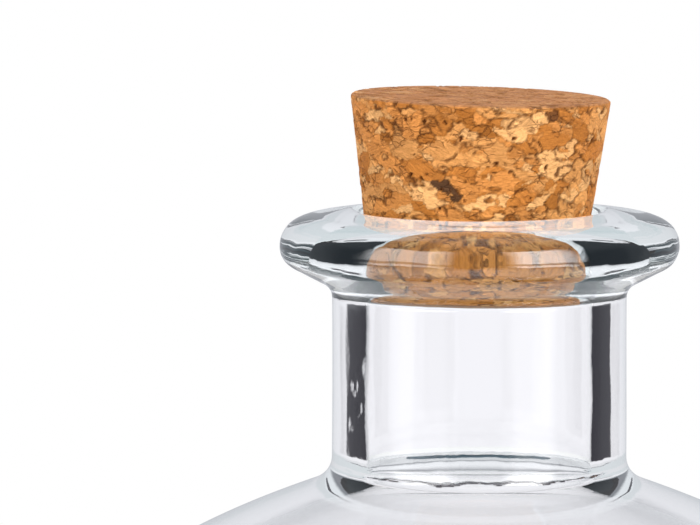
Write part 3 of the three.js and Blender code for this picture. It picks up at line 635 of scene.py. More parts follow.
def glass_wave(crown_share):
    """How hand-made glass wanders from a true surface, as a shape() for turned(). The neck is drawn,
    so its waves run up and down it. Its bore ends in a wrinkled seam, and a few dimples are left on
    its side."""

    def shape(r, z, angle, share):
        inside = smoothstep(share, crown_share - 0.01, crown_share + 0.03)
        c, s = math.cos(angle), math.sin(angle)
        near = Vector((r * c, r * s, z))
        drift = noise.noise(near / 26 + Vector((0, 0, 9.3 * inside)))
        drawn = noise.noise(Vector((near.x / 3.2, near.y / 3.2, z / 24 + 17.7 * inside)))
        fibre = noise.noise(Vector((near.x / 1.4, near.y / 1.4, z / 9 + 5.1 * inside)))
        ring = noise.noise(Vector((c * 1.3, s * 1.3, z * 0.6 + 41 * inside)))
        lump = noise.noise(near / 5 + Vector((3, 8, 41 * inside)))
        grit = noise.noise(near / 1.7 + Vector((6, 1, 3)))
        lip = smoothstep(z, LIP_FOOT, LIP_FOOT + 4) * (1 - inside)
        neck = smoothstep(z, NECK_FOOT + 2, NECK_FOOT + 6) * (1 - lip)
        held = smoothstep(z, 1.0, 6.0) if not inside else 1.0
        on_neck = 0.024 * drawn + 0.013 * fibre
        on_lip = 0.05 * ring + 0.09 * lump + 0.035 * grit
        amount = held * (0.14 * drift + neck * on_neck + lip * on_lip)
        if inside:
            if z > LIP_FOOT:
                amount = 0.3 * abs(amount)
            level, strength = seam(angle)
            amount -= SEAM_DEPTH * strength * math.exp(-(((z - level) / SEAM_WIDTH) ** 2))
        else:
            for side, height, size, deep in DIMPLES:
                away = ((side - angle) * r / size) ** 2 + ((z - height) / (2.2 * size)) ** 2
                if away < 6:
                    amount -= deep * math.exp(-away)
        return r + amount, z

    return shape


def bottle():
    """The glass. Its lip is a thicker, greener finish, which darkens light turned back inside it as
    painted shade, and faces along the seam take a nearly black one, a painted shadow line in the wrinkle.
    """
    outer, inner = outer_profile(), inner_profile()
    whole = outer + inner
    verts, faces = turned(whole, 256, glass_wave(len(outer) / len(whole)))
    obj = piece("bottle_glass", np.array(verts) * MM, faces, GLASS, ROOT, "clear_glass", ["bottle"])
    for finish in (LIP_GLASS, SEAM_SHADOW_GLASS):
        obj.data.materials.append(finish)
    for face in obj.data.polygons:
        x, y, z = face.center / MM
        face.material_index = int(z > LIP_FOOT + 1)
        if abs(z - SEAM_LEVEL) < 2 and math.hypot(x, y) < BORE_RADIUS + 1:
            level, strength = seam(math.atan2(y, x))
            # Faces this close to the seam's line take the nearly black glass, a painted shadow line.
            if abs(z - level) < SEAM_SHADOW_LINE * strength:
                face.material_index = 2


# ---------- cork ----------

CORK_TOP, CORK_FOOT, CORK_LENGTH = 20.9, 16.75, 30.95
CORK_PLACE = (-0.7, 0, 180)
CORK_TILT = math.radians(1.6)
CORK_SEED = 11
GRANULES, GRANULE_REACH, BEYOND_ANY = 6000, 5, 9e9
GAP_COLOUR, END_COLOUR = np.array([0.115, 0.037, 0.009]), np.array([0.36, 0.180, 0.088])
DEEPEST_GAP, DEEPEST_PIT, PROUDEST = 0.20, 0.42, 0.05
GRANULE_COLOURS = [  # share, colour
    (0.40, (0.57, 0.232, 0.060)),
    (0.27, (0.65, 0.300, 0.094)),
    (0.14, (0.74, 0.395, 0.155)),
    (0.14, (0.47, 0.175, 0.036)),
    (0.045, (0.38, 0.138, 0.026)),
    (0.005, (0.18, 0.070, 0.022)),
]

BARK = (0.085, 0.040, 0.018)
BARK_FLAKES = [  # place, half sizes and lean of the few dark flakes of bark
    ((-5.6, -18.0, 17.6), (4.2, 2.2, 1.25), 0.3),
    ((-3.4, -18.2, 16.2), (1.2, 1.0, 0.6), -0.2),
    ((15.2, -11.2, 18.8), (0.6, 1.0, 1.5), 0.3),
    ((-12.2, -15.0, 26.6), (0.9, 1.0, 0.7), 0.1),
]


def granules(rng, count):
    """Random flattened granules: centre, axes scaled by size, and colour."""
    centre = np.column_stack(
        [rng.uniform(-23, 23, count), rng.uniform(-23, 23, count), rng.uniform(-2, CORK_LENGTH + 2, count)]
    )
    size = np.clip(rng.lognormal(0.55, 0.5, count), 0.6, 5.0)
    frames = np.empty((count, 3, 3))
    for k in range(count):
        lean = Euler((rng.normal(0, 0.36), rng.normal(0, 0.36), rng.uniform(0, math.pi))).to_matrix()
        flat = np.diag([0.85 / size[k], 1.2 / size[k], rng.uniform(1.9, 3.6) / size[k]])
        frames[k] = flat @ np.array(lean.transposed())
    pick = np.searchsorted(np.cumsum([s for s, _ in GRANULE_COLOURS]), rng.uniform(0, 0.9999, count))
    colour = np.array([c for _, c in GRANULE_COLOURS])[pick] * rng.uniform(0.86, 1.12, (count, 1))
    for k, (place, half, lean) in enumerate(BARK_FLAKES):
        centre[k] = place
        frames[k] = np.diag(1 / np.array(half)) @ np.array(Euler((0, lean, 0)).to_matrix().transposed())
        colour[k] = BARK
    return centre, frames, colour


def noise_at(points, scale, offset, kind=noise.noise):
    """Noise at each point, scaled and then shifted."""
    return np.array([kind(Vector(p) * scale + Vector(offset)) for p in points])


def granule_fields(points, rng):
    """For each point, its granule's colour, how far it is inside the granule's edge, and the
    granule's number."""
    centre, frames, colour = granules(rng, GRANULES)
    wobble = noise_at(points, 0.6, (0, 0, 0), noise.noise_vector) * 0.5
    wobble += noise_at(points, 1.9, (7, 3, 1), noise.noise_vector) * 0.22
    moved = points + wobble
    first, second = np.full((2, len(points)), BEYOND_ANY)
    owner = np.zeros(len(points), int)
    for k in range(len(centre)):
        near = np.flatnonzero(np.abs(moved[:, 2] - centre[k, 2]) < GRANULE_REACH)
        offset = moved[near] - centre[k]
        keep = (offset**2).sum(1) < (GRANULE_REACH + 3) ** 2
        near, offset = near[keep], offset[keep]
        if not len(near):
            continue
        d = np.sqrt(((offset @ frames[k].T) ** 2).sum(1))
        closer = d < first[near]
        second[near] = np.where(closer, first[near], np.minimum(second[near], d))
        owner[near] = np.where(closer, k, owner[near])
        first[near] = np.minimum(first[near], d)
    return colour[owner], second - first, owner


def cork_profile():
    """Radius and height, from the foot's middle up the taper to the top's middle."""
    edge, corner = 0.7, 4
    slant = (CORK_TOP - CORK_FOOT) / CORK_LENGTH
    path = [(0, 0)] + line((0, 0), (CORK_FOOT - edge, 0), 0.8)
    path += arc((CORK_FOOT - edge, edge), edge, -90, 0, corner)
    path += line(path[-1], (CORK_TOP - slant * edge, CORK_LENGTH - edge), 0.24)
    path += arc((CORK_TOP - edge, CORK_LENGTH - edge), edge, 8, 90, corner)
    return path + line(path[-1], (0, CORK_LENGTH), 0.45)


def cork():
    rng = np.random.default_rng(CORK_SEED)
    noise.seed_set(CORK_SEED)  # vector noise follows the clock otherwise
    verts, faces = turned(cork_profile(), 512)
    points = np.array(verts)
    colour, margin, owner = granule_fields(points, rng)
    # A gap shows dark only here and there. Elsewhere the granules are pressed tight.
    loose, tight = noise_at(points, 0.42, (5, 9, 2)), noise_at(points, 1.3, (1, 4, 8))
    width = np.clip(0.09 + 0.16 * loose + 0.12 * tight, 0.02, 0.26)
    gap = np.clip(1 - margin / width, 0, 1) ** 0.7 * np.clip(0.34 + 1.4 * loose + 1.0 * tight, 0.03, 0.95)
    pit = noise_at(points, 0.8, (3, 7, 6))
    hole = np.clip((pit * 0.6 + tight * 0.5 - 0.52) / 0.07, 0, 1)
    dark = np.maximum(gap, hole)
    shade = colour * (1 - dark[:, None]) + GAP_COLOUR * dark[:, None]
    # Painted highlight: a thin band just inside each gap is made brighter, standing for light on the
    # raised edges of the granules.
    rim = np.clip((margin - width) / 0.05, 0, 1) * np.clip(1 - (margin - width) / 0.12, 0, 1)
    shade *= 1 + 0.20 * rim[:, None]
    # The top and the foot are mixed towards a darker, duller colour.
    top, foot = points[:, 2] > CORK_LENGTH - 0.3, points[:, 2] < 0.3
    ends = top | foot
    shade = np.where(ends[:, None], shade * 0.4 + END_COLOUR * 0.6, shade)
    level = rng.uniform(-0.05, 0.06, owner.max() + 1)[owner]
    depth = np.clip(DEEPEST_GAP * gap + DEEPEST_PIT * hole - level * ~ends, -PROUDEST, 0.6)
    radial = points * np.array([1, 1, 0])
    inward = -radial / np.maximum(np.linalg.norm(radial, axis=1), 1e-6)[:, None]
    inward[top], inward[foot] = [0, 0, -1], [0, 0, 1]
    points = points + inward * depth[:, None]
    place = Matrix.Translation(CORK_PLACE) @ Matrix.Rotation(CORK_TILT, 4, "Y")
    world = points @ np.array(place.to_3x3()).T + np.array(place.translation)
    obj = piece("cork_stopper", world * MM, faces, CORK, "cork", "cork", ["cork"])
    turn = rng.normal(0, 0.5, owner.max() + 1)[owner]
    tint = np.column_stack([shade, np.ones(len(shade))])
    for name, kind, field, values in (
        ("granule_turn", "FLOAT", "value", turn),
        ("granule_colour", "FLOAT_COLOR", "color", tint),
        ("gap", "FLOAT", "value", dark),
    ):
        data = obj.data.attributes.new(name, kind, "POINT").data
        data.foreach_set(field, values.astype(np.float32).ravel())


# ---------- sea and hull ----------

SEA_LEVEL, SEA_GAP = 24, 0.3
HULL_LENGTH, HULL_BEAM, KEEL_DEPTH, BULWARK_TOP = 92, 19, 5.5, 8.2
BULWARK, DECK_BED, DECK_TOP = 1, 5.4, 6.2
HINGE_HEIGHT = DECK_TOP + 1.2
BOW_AND_STERN = 44  # where the foam leaves the hull's sides and goes round its ends
TRANSOM = 0.026  # share of the length that is solid at the stern
WALES = [(0.60, 0.645), (0.80, 0.83), (0.93, 0.96)]  # raised strakes, as shares of the hull's depth
WALE_PROUD, WALE_EDGE = 0.16, 0.006

# The hull's lines: s runs from stern to bow and h from keel to rail, each from 0 to 1.
# z is above the mean level of the sea.


def sheer(s):
    """Height of the rail."""
    end = 2 * s - 1
    return BULWARK_TOP + (3.2 if end > 0 else 2) * end * end


def keel(s):
    """Height of the keel, which rises towards both ends."""
    return -KEEL_DEPTH + 2.5 * (max(0, 0.16 - s) / 0.16) ** 2 + 3.5 * (max(0, s - 0.86) / 0.14) ** 2


def outline(s):
    """Share of the full beam that the rail has."""
    if s < 0.35:
        return 0.6 + 0.4 * math.sin(math.pi / 2 * s / 0.35)
    if s < 0.55:
        return 1
    return max(0, math.cos(math.pi / 2 * ((s - 0.55) / 0.45) ** 1.5)) ** 0.85


def along_hull(s, h):
    """Place along the ship, with a raked stem and stern."""
    return HULL_LENGTH * (s - 0.5) + 6 * (h - 0.5) * s**6 - 4 * (h - 0.5) * (1 - s) ** 6


def half_breadth(s, h):
    """Half breadth of the hull, full amidships and fine at the ends."""
    return HULL_BEAM / 2 * outline(s) * h ** (0.3 + 0.45 * abs(2 * s - 1) ** 2.5)


def depth_share(s, z):
    """The h of a height."""
    return (z - keel(s)) / (sheer(s) - keel(s))


def hull_side(x, z):
    """The hull's half breadth at a place along the ship and a height."""
    s = 0.5
    for _ in range(6):
        s = min(max(s + (x - along_hull(s, depth_share(s, z))) / HULL_LENGTH, 0), 1)
    return half_breadth(s, depth_share(s, z))


def wave_height(x, y):
    """Height of the waves over the mean level of the sea."""
    big = 0.9 * math.sin(0.2 * x + 0.4) * math.cos(0.16 * y)
    big += 0.5 * math.sin(0.31 * x - 0.27 * y + 1) + 0.3 * math.sin(0.5 * y + 0.22 * x)
    near = Vector((x, y, 0))
    ridge = 0.5 - abs(noise.noise(near * 0.42 + Vector((4, 2, 0))))
    chop = 0.55 * noise.noise(near * 0.22) + 0.3 * ridge
    return big + chop + 0.14 * noise.noise(near * 1.1)


def sea():
    rim, floor, corner = INNER_RADIUS - SEA_GAP, FLOOR + SEA_GAP, INNER_CORNER
    under = [(0, floor + FLOOR_RISE)]
    under += bezier([under[0], (PUNT_RIM * 0.6, floor), (PUNT_RIM, floor)], 8)
    under += line(under[-1], (rim - corner, floor), 4)
    under += arc((rim - corner, floor + corner), corner, -90, 0, 8)
    path = under + line((rim, SEA_LEVEL), (0, SEA_LEVEL), 0.75)
    path.insert(len(under), (rim, SEA_LEVEL))
    verts, faces = turned(path, 288)
    lifted, foam = [], []
    for x, y, z in verts:
        white = 0.0
        if z > SEA_LEVEL - 0.01:
            wave = wave_height(x, y)
            z += wave * (1 - 0.5 * smoothstep(math.hypot(x, y), rim - 4, rim))
            beside = abs(y) - (hull_side(x, 0.5) if abs(x) < BOW_AND_STERN + 1 else 0)
            off = math.hypot(max(beside, 0), max(0, abs(x) - BOW_AND_STERN))
            edge = 1 - smoothstep(off, 0.4, 2.6 + 1.2 * noise.noise(Vector((x, y, 0)) * 0.3))
            astern = -x - BOW_AND_STERN
            wake = 1 - smoothstep(abs(y), 2 + 0.12 * astern, 5 + 0.2 * astern) if astern > 0 else 0
            crest = smoothstep(wave, 1.05, 1.7)
            white = min(1, max(0.95 * edge, 0.8 * wake, 0.7 * crest))
        lifted.append((x * MM, y * MM, z * MM))
        foam.append(white)
    obj = piece("sea_surface", lifted, faces, SEA, ROOT, "sea", ["sea"])
    obj.data.attributes.new("foam", "FLOAT", "POINT").data.foreach_set("value", foam)


def hull():
    """The planked hull with its bulwarks, hollow above the deck. Each ring runs over the outside,
    then the inside."""
    steps, stations = 54, 150
    wale_edges = {edge + d for wale in WALES for edge in wale for d in (0, WALE_EDGE)}
    shares = sorted({(i / steps) ** 1.3 for i in range(steps + 1)} | wale_edges)
    rings, depth = [], []
    cuts = sorted([k / stations for k in range(stations + 1)] + [TRANSOM, TRANSOM + 0.0005])
    for s in cuts:
        h_bed, h_deck = depth_share(s, DECK_BED), depth_share(s, DECK_TOP)
        half_deck = half_breadth(s, h_deck) - BULWARK
        well = s > TRANSOM and half_deck > 0.8
        side = []
        for h in shares:
            proud = WALE_PROUD * any(a + WALE_EDGE / 2 < h < b + WALE_EDGE * 2 / 3 for a, b in WALES)
            y = 0 if s == 1 else half_breadth(s, h) + (proud * min(1, (1 - s) * 12) if h > 0 else 0)
            side.append((along_hull(s, h), y, keel(s) + (sheer(s) - keel(s)) * h, h))
        outside = [(x, -y, z, h) for x, y, z, h in reversed(side)] + side[1:]
        x_top, y_top, z_top, _ = side[-1]
        x_in = along_hull(s, h_deck)
        if well:
            inside = [(x_in, half_deck, z_top, 0.9), (x_in, half_deck, DECK_BED, h_bed)]
            inside += [(x_in, -half_deck, DECK_BED, h_bed), (x_in, -half_deck, z_top, 0.9)]
        else:
            narrow = max(min(half_deck, y_top), 0)
            inside = [(x_top, k * narrow, z_top, 0.9) for k in (0.9, 0.3, -0.3, -0.9)]
        ring = outside + inside
        rings.append([(x * MM, y * MM, (z + SEA_LEVEL) * MM) for x, y, z, _ in ring])
        depth += [h for _, _, _, h in ring]
    count = len(rings[0])
    verts = [v for ring in rings for v in ring]
    faces = [tuple(reversed(f)) for f in grid_faces(len(rings), count, True)]
    last = (len(rings) - 1) * count
    faces += [tuple(reversed(range(count))), tuple(range(last, last + count))]
    obj = piece("hull_shell", verts, faces, HULL, ROOT, "hull_paint", ["hull"], smooth=False)
    obj.data.attributes.new("depth_share", "FLOAT", "POINT").data.foreach_set("value", depth)


# ---------- masts, sails and rigging ----------

MAST_RADIUS, MAST_TIP_RADIUS, YARD_RADIUS, THREAD_RADIUS = 1.1, 0.5, 0.55, 0.18
BILLOW, FOOT_ARCH, CLOTH_THICKNESS = 3.6, 2.3, 0.26
MASTS = {  # place along the keel, height above the hinge, and each yard's height and half length
    "fore": (25, 66, [("lower", 24, 14.5), ("topsail", 42, 12.5), ("topgallant", 56.5, 9.5)]),
    "main": (-2, 72, [("lower", 26, 15.5), ("topsail", 46, 13.5), ("topgallant", 61.5, 10.5)]),
    "mizzen": (-29, 56, [("lower", 22, 12), ("topsail", 38.5, 9.5)]),
}
HINGE_Z = SEA_LEVEL + HINGE_HEIGHT


def mast_radius(height, z):
    return MAST_RADIUS + (MAST_TIP_RADIUS - MAST_RADIUS) * max(z, 0) / height


def yard_x(height, z):
    return mast_radius(height, z) + YARD_RADIUS + 0.1


def slab(columns, rows, point, thickness, normal):
    """Vertices and faces of a thin closed sheet. point(u, v) is on its middle surface."""
    half = Vector(normal) * thickness / 2
    verts = []
    for way in (1, -1):
        for j in range(rows + 1):
            verts += [Vector(point(i / columns, j / rows)) + half * way for i in range(columns + 1)]
    across, behind = columns + 1, (columns + 1) * (rows + 1)
    front = grid_faces(rows + 1, across, False)
    faces = front + [tuple(behind + i for i in reversed(f)) for f in front]
    border = list(range(columns)) + [j * across + columns for j in range(rows)]
    border += [rows * across + i for i in range(columns, 0, -1)] + [j * across for j in range(rows, 0, -1)]
    for a, b in zip(border, border[1:] + border[:1]):
        faces.append((b, a, behind + a, behind + b))
    return verts, faces


def sail_surface(mast, level):
    """A square sail's point(u, v): u across to port and v up. It bellies forward, with soft creases
    off its clews."""
    x, height, yards = MASTS[mast]
    _, z_yard, half_yard = yards[level]
    head_x, head_z, head_half = yard_x(height, z_yard), z_yard - YARD_RADIUS - 0.15, half_yard - 1
    if level:
        _, z_low, half_low = yards[level - 1]
        foot_x, foot_z, foot_half = yard_x(height, z_low), z_low + YARD_RADIUS + 0.15, half_low - 1
    else:
        foot_x, foot_z, foot_half = head_x + 0.8, 8.5, half_yard - 0.2
    seed = Vector((x, level * 7.3, 2))

    def point(u, v):
        billow = BILLOW * math.sin(math.pi * u) * math.sin(math.pi * (0.2 + 0.8 * v))
        held = math.sin(math.pi * u) ** 0.5 * min(1, 4 * v * (1 - v) + 0.35)
        crease = 0
        for clew in (0, 1):
            run = Vector((abs(u - clew), v, 0))
            fan = math.atan2(run.y, run.x + 1e-6)
            ripple = 0.22 * math.sin(fan * 22) * math.exp(-3.2 * run.length)
            crease += ripple * smoothstep(run.length, 0.02, 0.2)
        scallop = 0.16 * math.sin(u * math.pi * 14) * v**6
        soft = 0.35 * noise.noise(Vector((u * 3, v * 3, 0)) + seed)
        roach = FOOT_ARCH * math.sin(math.pi * u) * (1 - v) ** 2
        y = (2 * u - 1) * (foot_half + (head_half - foot_half) * v)
        px = x + foot_x + (head_x - foot_x) * v + billow + held * (soft + crease) + scallop
        return Vector((px, y, HINGE_Z + foot_z + (head_z - foot_z) * v + roach)) * MM

    return point


def length_of(points):
    return sum((b - a).length for a, b in zip(points, points[1:]))


def declare_sheet(obj, point):
    """Measures a sail across and up along its surface, and does nothing with the lengths. obj is not used.
    """
    steps = [i / 24 for i in range(25)]
    rows = [[point(u, v) for u in steps] for v in steps]
    across = max(length_of(row) for row in rows)
    up = max(length_of([row[i] for row in rows]) for i in range(25))
    for low, high in zip(rows, rows[1:]):
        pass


def square_rig(mast):
    """One mast's square sails with their bolt ropes, robands and foot ropes."""
    x, height, yards = MASTS[mast]
    ropes = Builder()
    for level, (name, z_yard, half_yard) in enumerate(yards):
        sail = f"{mast}_{name if level else 'course'}_sail"
        point = sail_surface(mast, level)
        verts, faces = slab(44, 34, point, CLOTH_THICKNESS * MM, (1, 0, 0))
        obj = piece(sail + "_cloth", verts, faces, SAIL, f"{mast}_rig", "sail_cloth", [sail])
        declare_sheet(obj, point)
        edge = [point(i / 40, 1) for i in range(41)] + [point(1, 1 - i / 30) for i in range(1, 31)]
        edge += [point(1 - i / 40, 0) for i in range(1, 41)] + [point(0, i / 30) for i in range(1, 31)]
        ropes.tube(edge, 0.2 * MM, 6)
        yard_place = Vector((x + yard_x(height, z_yard), 0, HINGE_Z + z_yard)) * MM
        for k in range(11):
            y = (2 * (k + 0.5) / 11 - 1) * (half_yard - 1.2)
            reach = YARD_RADIUS * (1 - 0.45 * abs(y) / half_yard) + 0.12
            turns = [(math.cos(a) * reach, math.sin(a) * reach) for a in np.linspace(-1.7, 4.6, 13)]
            ropes.tube([yard_place + Vector((c, y, s)) * MM for c, s in turns], 0.09 * MM, 5)
        foot_rope = []
        for k in range(17):
            t = k / 16
            y = (2 * t - 1) * (half_yard - 0.6)
            sag = 1.5 * abs(math.sin(2 * math.pi * t)) ** 0.7
            foot_rope.append(yard_place + Vector((-0.75, y, -0.1 - sag)) * MM)
        ropes.tube(foot_rope, 0.07 * MM, 5)
    ropes.piece(f"{mast}_sail_ropes", THREAD, f"{mast}_rig", "rigging_thread")


PENNANT_LENGTH, PENNANT_WIDTH, PENNANT_DROP = 9, 2.6, 2.6


def pennant(mast):
    """A pennant that streams forward from the masthead, since the wind is astern."""
    x, height, _ = MASTS[mast]
    root = x + MAST_TIP_RADIUS + 0.25

    def point(u, v):
        y = 0.6 * math.sin(u * 7) * u + 0.12 * math.sin(u * 19 + v) * u
        z = HINGE_Z + height - PENNANT_DROP + (v - 0.5) * PENNANT_WIDTH * (1 - 0.75 * u)
        z += 0.25 * math.sin(u * 5) * u
        return Vector((root + PENNANT_LENGTH * u, y, z)) * MM

    verts, faces = slab(40, 8, point, 0.18 * MM, (0, -1, 0))
    piece(f"{mast}_pennant_cloth", verts, faces, FLAG, f"{mast}_rig", "flag_cloth", [f"{mast}_pennant"])


def mast_fittings(mast):
    """A top at the lower mast's head, a gilt truck on the masthead and iron bands at the yards."""
    x, height, yards = MASTS[mast]
    z_top = yards[0][1] + 4.2
    top = Builder()
    plan = [(-1.9, -2.1), (0.2, -2.6), (1.9, -1.9), (2.5, 0), (1.9, 1.9), (0.2, 2.6), (-1.9, 2.1)]
    low = [Vector((x + a, b, HINGE_Z + z_top)) * MM for a, b in plan]
    high = [v + Vector((0, 0, 0.45)) * MM for v in low]
    n = len(plan)
    sides = [(k, (k + 1) % n, n + (k + 1) % n, n + k) for k in range(n)]
    top.add(low + high, sides + [tuple(range(n - 1, -1, -1)), tuple(range(n, 2 * n))])
    for y in (-0.9, 0.9):
        corner = Vector((x - 1.6, y - 0.22, HINGE_Z + z_top - 0.6)) * MM
        top.box(corner, corner + Vector((3.4, 0.44, 0.6)) * MM)
    obj = top.piece(f"{mast}_top", DARK_WOOD, f"{mast}_rig", "dark_wood", smooth=False)
    bevelled(obj, 0.08 * MM)
    bands = Builder()
    for _, z_yard, _ in yards:
        for off in (-0.8, 0.8):
            r = mast_radius(height, z_yard) + 0.1
            ring = [(x + math.cos(a) * r, math.sin(a) * r) for a in np.linspace(0, 2 * math.pi, 21)]
            bands.tube([Vector((a, b, HINGE_Z + z_yard + off)) * MM for a, b in ring], 0.12 * MM, 6)
    bands.piece(f"{mast}_bands", IRON, f"{mast}_rig", "iron")
    truck = Builder()
    truck.ball(Vector((x, 0, HINGE_Z + height - 0.1)) * MM, (0.75 * MM, 0.75 * MM, 0.5 * MM), 10, 16)
    truck.piece(f"{mast}_truck", BRASS, f"{mast}_rig", "brass")


SHROUD_FEET = (1, -2.5, -6)  # from the mast, forward
CHANNEL = (9, 1.7, 0.5)
RATLINES = 11


def upright_ring(centre, across, up, count):
    """Points once round a ring that faces sideways, its ends meeting."""
    angles = np.linspace(0, 2 * math.pi, count)
    return [centre + Vector((across * math.cos(a), 0, up * math.sin(a))) for a in angles]


def shrouds(mast, side):
    """One side's shrouds of a mast, with ratlines, deadeyes and the channel plank at their feet."""
    x, height, yards = MASTS[mast]
    hounds = yards[0][1] - 1.6
    head = Vector((x - 0.3, side * (mast_radius(height, hounds) + 0.3), HINGE_Z + hounds))
    along = [x + dx for dx in SHROUD_FEET]
    plank_top = min(sheer(a / HULL_LENGTH + 0.5) for a in along) - 0.3
    inboard = max(hull_side(a, plank_top) for a in along) + 0.06
    middle = x + (SHROUD_FEET[0] + SHROUD_FEET[2]) / 2
    length, breadth, thickness = CHANNEL
    plank = Builder()
    ys = sorted((side * inboard, side * (inboard + breadth)))
    z_plank = SEA_LEVEL + plank_top - thickness
    low = Vector((middle - length / 2, ys[0], z_plank)) * MM
    plank.box(low, low + Vector((length, breadth, thickness)) * MM)
    name = "port" if side > 0 else "starboard"
    channel = plank.piece(f"{mast}_channel_{name}", DARK_WOOD, ROOT, "dark_wood", smooth=False)
    bevelled(channel, 0.1 * MM)
    threads, blocks = Builder(), Builder()
    y_foot = side * (inboard + breadth - 0.4)
    feet = [Vector((a, y_foot, z_plank + thickness)) for a in along]
    for k, foot in enumerate(feet):
        up = (head - foot).normalized()
        top = head + Vector((0.12 * (k - 1), 0, -0.1))
        for at in (0.55, 2.0):
            centre = foot + up * at
            blocks.ball(centre * MM, (0.5 * MM, 0.3 * MM, 0.5 * MM), 8, 12)
        for off in (-0.22, 0, 0.22):
            lash = Vector((off, 0, 0))
            threads.tube([(foot + up * 0.4 + lash) * MM, (foot + up * 2.1 + lash) * MM], 0.07 * MM, 5)
        points = [foot.lerp(top, t) * MM for t in np.linspace(0.02, 1, 40)]
        threads.tube(points, THREAD_RADIUS * MM, 8)
    for k in range(1, RATLINES + 1):
        t = 0.1 + 0.78 * k / (RATLINES + 1)
        row = [foot.lerp(head, t) for foot in feet]
        sag = Vector((0, 0, -0.12))
        for a, b in zip(row, row[1:]):
            threads.tube([a * MM, (a.lerp(b, 0.5) + sag) * MM, b * MM], 0.08 * MM, 5)
    eye = upright_ring(head - Vector((0, 0, 0.1)), 0.45, 0.5, 15)
    threads.tube([p * MM for p in eye], 0.16 * MM, 6)
    node = f"{mast}_shrouds_{name}"
    rope = threads.piece(node + "_thread", THREAD, None, "rigging_thread", [node])
    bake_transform(rope)
    blocks.piece(f"{mast}_deadeyes_{name}", DARK_WOOD, ROOT, "dark_wood")


BOWSPRIT_HEEL, BOWSPRIT_TIP = Vector((37.5, 0, 9.7)), Vector((63, 0, 18.6))


def on_bowsprit(x, above):
    share = (x - BOWSPRIT_HEEL.x) / (BOWSPRIT_TIP.x - BOWSPRIT_HEEL.x)
    return BOWSPRIT_HEEL.lerp(BOWSPRIT_TIP, share) + Vector((0, 0, above))


STAYS = {  # low end, high end in the ship's frame, and the mast it comes from
    "fore_stay": (on_bowsprit(62, 0.9), Vector((26, 0, HINGE_HEIGHT + 59.5)), "fore"),
    "fore_inner_stay": (on_bowsprit(53, 1), Vector((26.15, 0, HINGE_HEIGHT + 44.2)), "fore"),
}
for aft, ahead in (("main", "fore"), ("mizzen", "main")):
    x_aft, tall, row = MASTS[aft]
    lift = row[0][1] + 3
    high_end = Vector((x_aft + mast_radius(tall, lift) + 0.35, 0, HINGE_HEIGHT + lift))
    STAYS[aft + "_stay"] = (Vector((MASTS[ahead][0] - 2.4, 0, DECK_TOP + 0.3)), high_end, aft)


def stays():
    """The stays, each from the bowsprit or the deck up to a mast."""
    lift = Vector((0, 0, SEA_LEVEL))
    for name, (low, high, mast) in STAYS.items():
        low, high = (low + lift) * MM, (high + lift) * MM
        rope = Builder().tube([low.lerp(high, k / 60) for k in range(61)], THREAD_RADIUS * MM, 8)
        obj = rope.piece(name + "_thread", THREAD, None, "rigging_thread", [name])
        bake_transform(obj)
        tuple(low)
        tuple(high)


def jib(name, stay, tack_share, head_share, clew, belly):
    """A three-cornered sail with its front edge on a stay and its clew aft of it."""
    low, high, mast = STAYS[stay]
    drop = Vector((-0.35, 0, -0.35))
    tack, head, clew = low.lerp(high, tack_share) + drop, low.lerp(high, head_share) + drop, Vector(clew)
    lift = Vector((0, 0, SEA_LEVEL))

    def point(u, v):
        p = tack.lerp(head, v).lerp(clew.lerp(head, v), u)
        p.y += belly * math.sin(math.pi * u) * math.sin(math.pi * (0.15 + 0.85 * v))
        p.y += 0.18 * noise.noise(Vector((u * 3, v * 4, 5))) * math.sin(math.pi * u)
        return (p + lift) * MM

    verts, faces = slab(26, 36, point, CLOTH_THICKNESS * MM, (0, 1, 0))
    obj = piece(name + "_cloth", verts, faces, JIB, None, "sail_cloth", [name])
    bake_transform(obj)
    declare_sheet(obj, point)
    edge = [point(0, i / 30) for i in range(31)] + [point(1, 1 - i / 30) for i in range(1, 31)]
    edge += [point(1 - i / 20, 0) for i in range(1, 21)]
    ropes = Builder().tube(edge, 0.17 * MM, 6)
    for k in range(9):
        v = 0.06 + 0.86 * k / 8
        share = tack_share + (head_share - tack_share) * v
        centre = ((low.lerp(high, share) + lift) * MM).lerp(point(0, v), 0.5)
        ropes.tube(upright_ring(centre, 0.42 * MM, 0.42 * MM, 11), 0.07 * MM, 5)
    rope = ropes.piece(name + "_rope", THREAD, None, "rigging_thread")
    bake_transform(rope)


PIN_RAILS = (18, 5.5, -8.5, -25)  # places along the ship
COIL_TURNS = 4


def deck_fittings():
    """Stanchions, pin rails and a few coils of rope, which are too small for the CAD."""
    coils, rails = Builder(), Builder()
    for x in PIN_RAILS:
        for side in (-1, 1):
            y = side * (hull_side(x, DECK_TOP) - BULWARK - 0.62)
            z = SEA_LEVEL + DECK_TOP
            low = Vector((x - 2.4, y - 0.22, z + 1.2)) * MM
            rails.box(low, low + Vector((4.8, 0.44, 0.3)) * MM)
            for off in (-2.1, 2.1):
                low = Vector((x + off - 0.2, y - 0.2, z + 0.03)) * MM
                rails.box(low, low + Vector((0.4, 0.4, 1.2)) * MM)
            for off in (-1.2, 0, 1.2):
                turns = []
                for k in range(41):
                    a = k / 40 * COIL_TURNS * 2 * math.pi
                    r = 0.42 - 0.05 * k / 40
                    coiled = Vector((off + r * math.cos(a), -side * 0.3, 0.85 + 0.5 * math.sin(a)))
                    turns.append((Vector((x, y, z)) + coiled) * MM)
                coils.tube(turns, 0.07 * MM, 5)
    obj = rails.piece("pin_rails", DARK_WOOD, ROOT, "dark_wood", smooth=False)
    bevelled(obj, 0.05 * MM)
    coils.piece("rope_coils", THREAD, ROOT, "rigging_thread")


# ---------- CAD nodes that keep their shape ----------


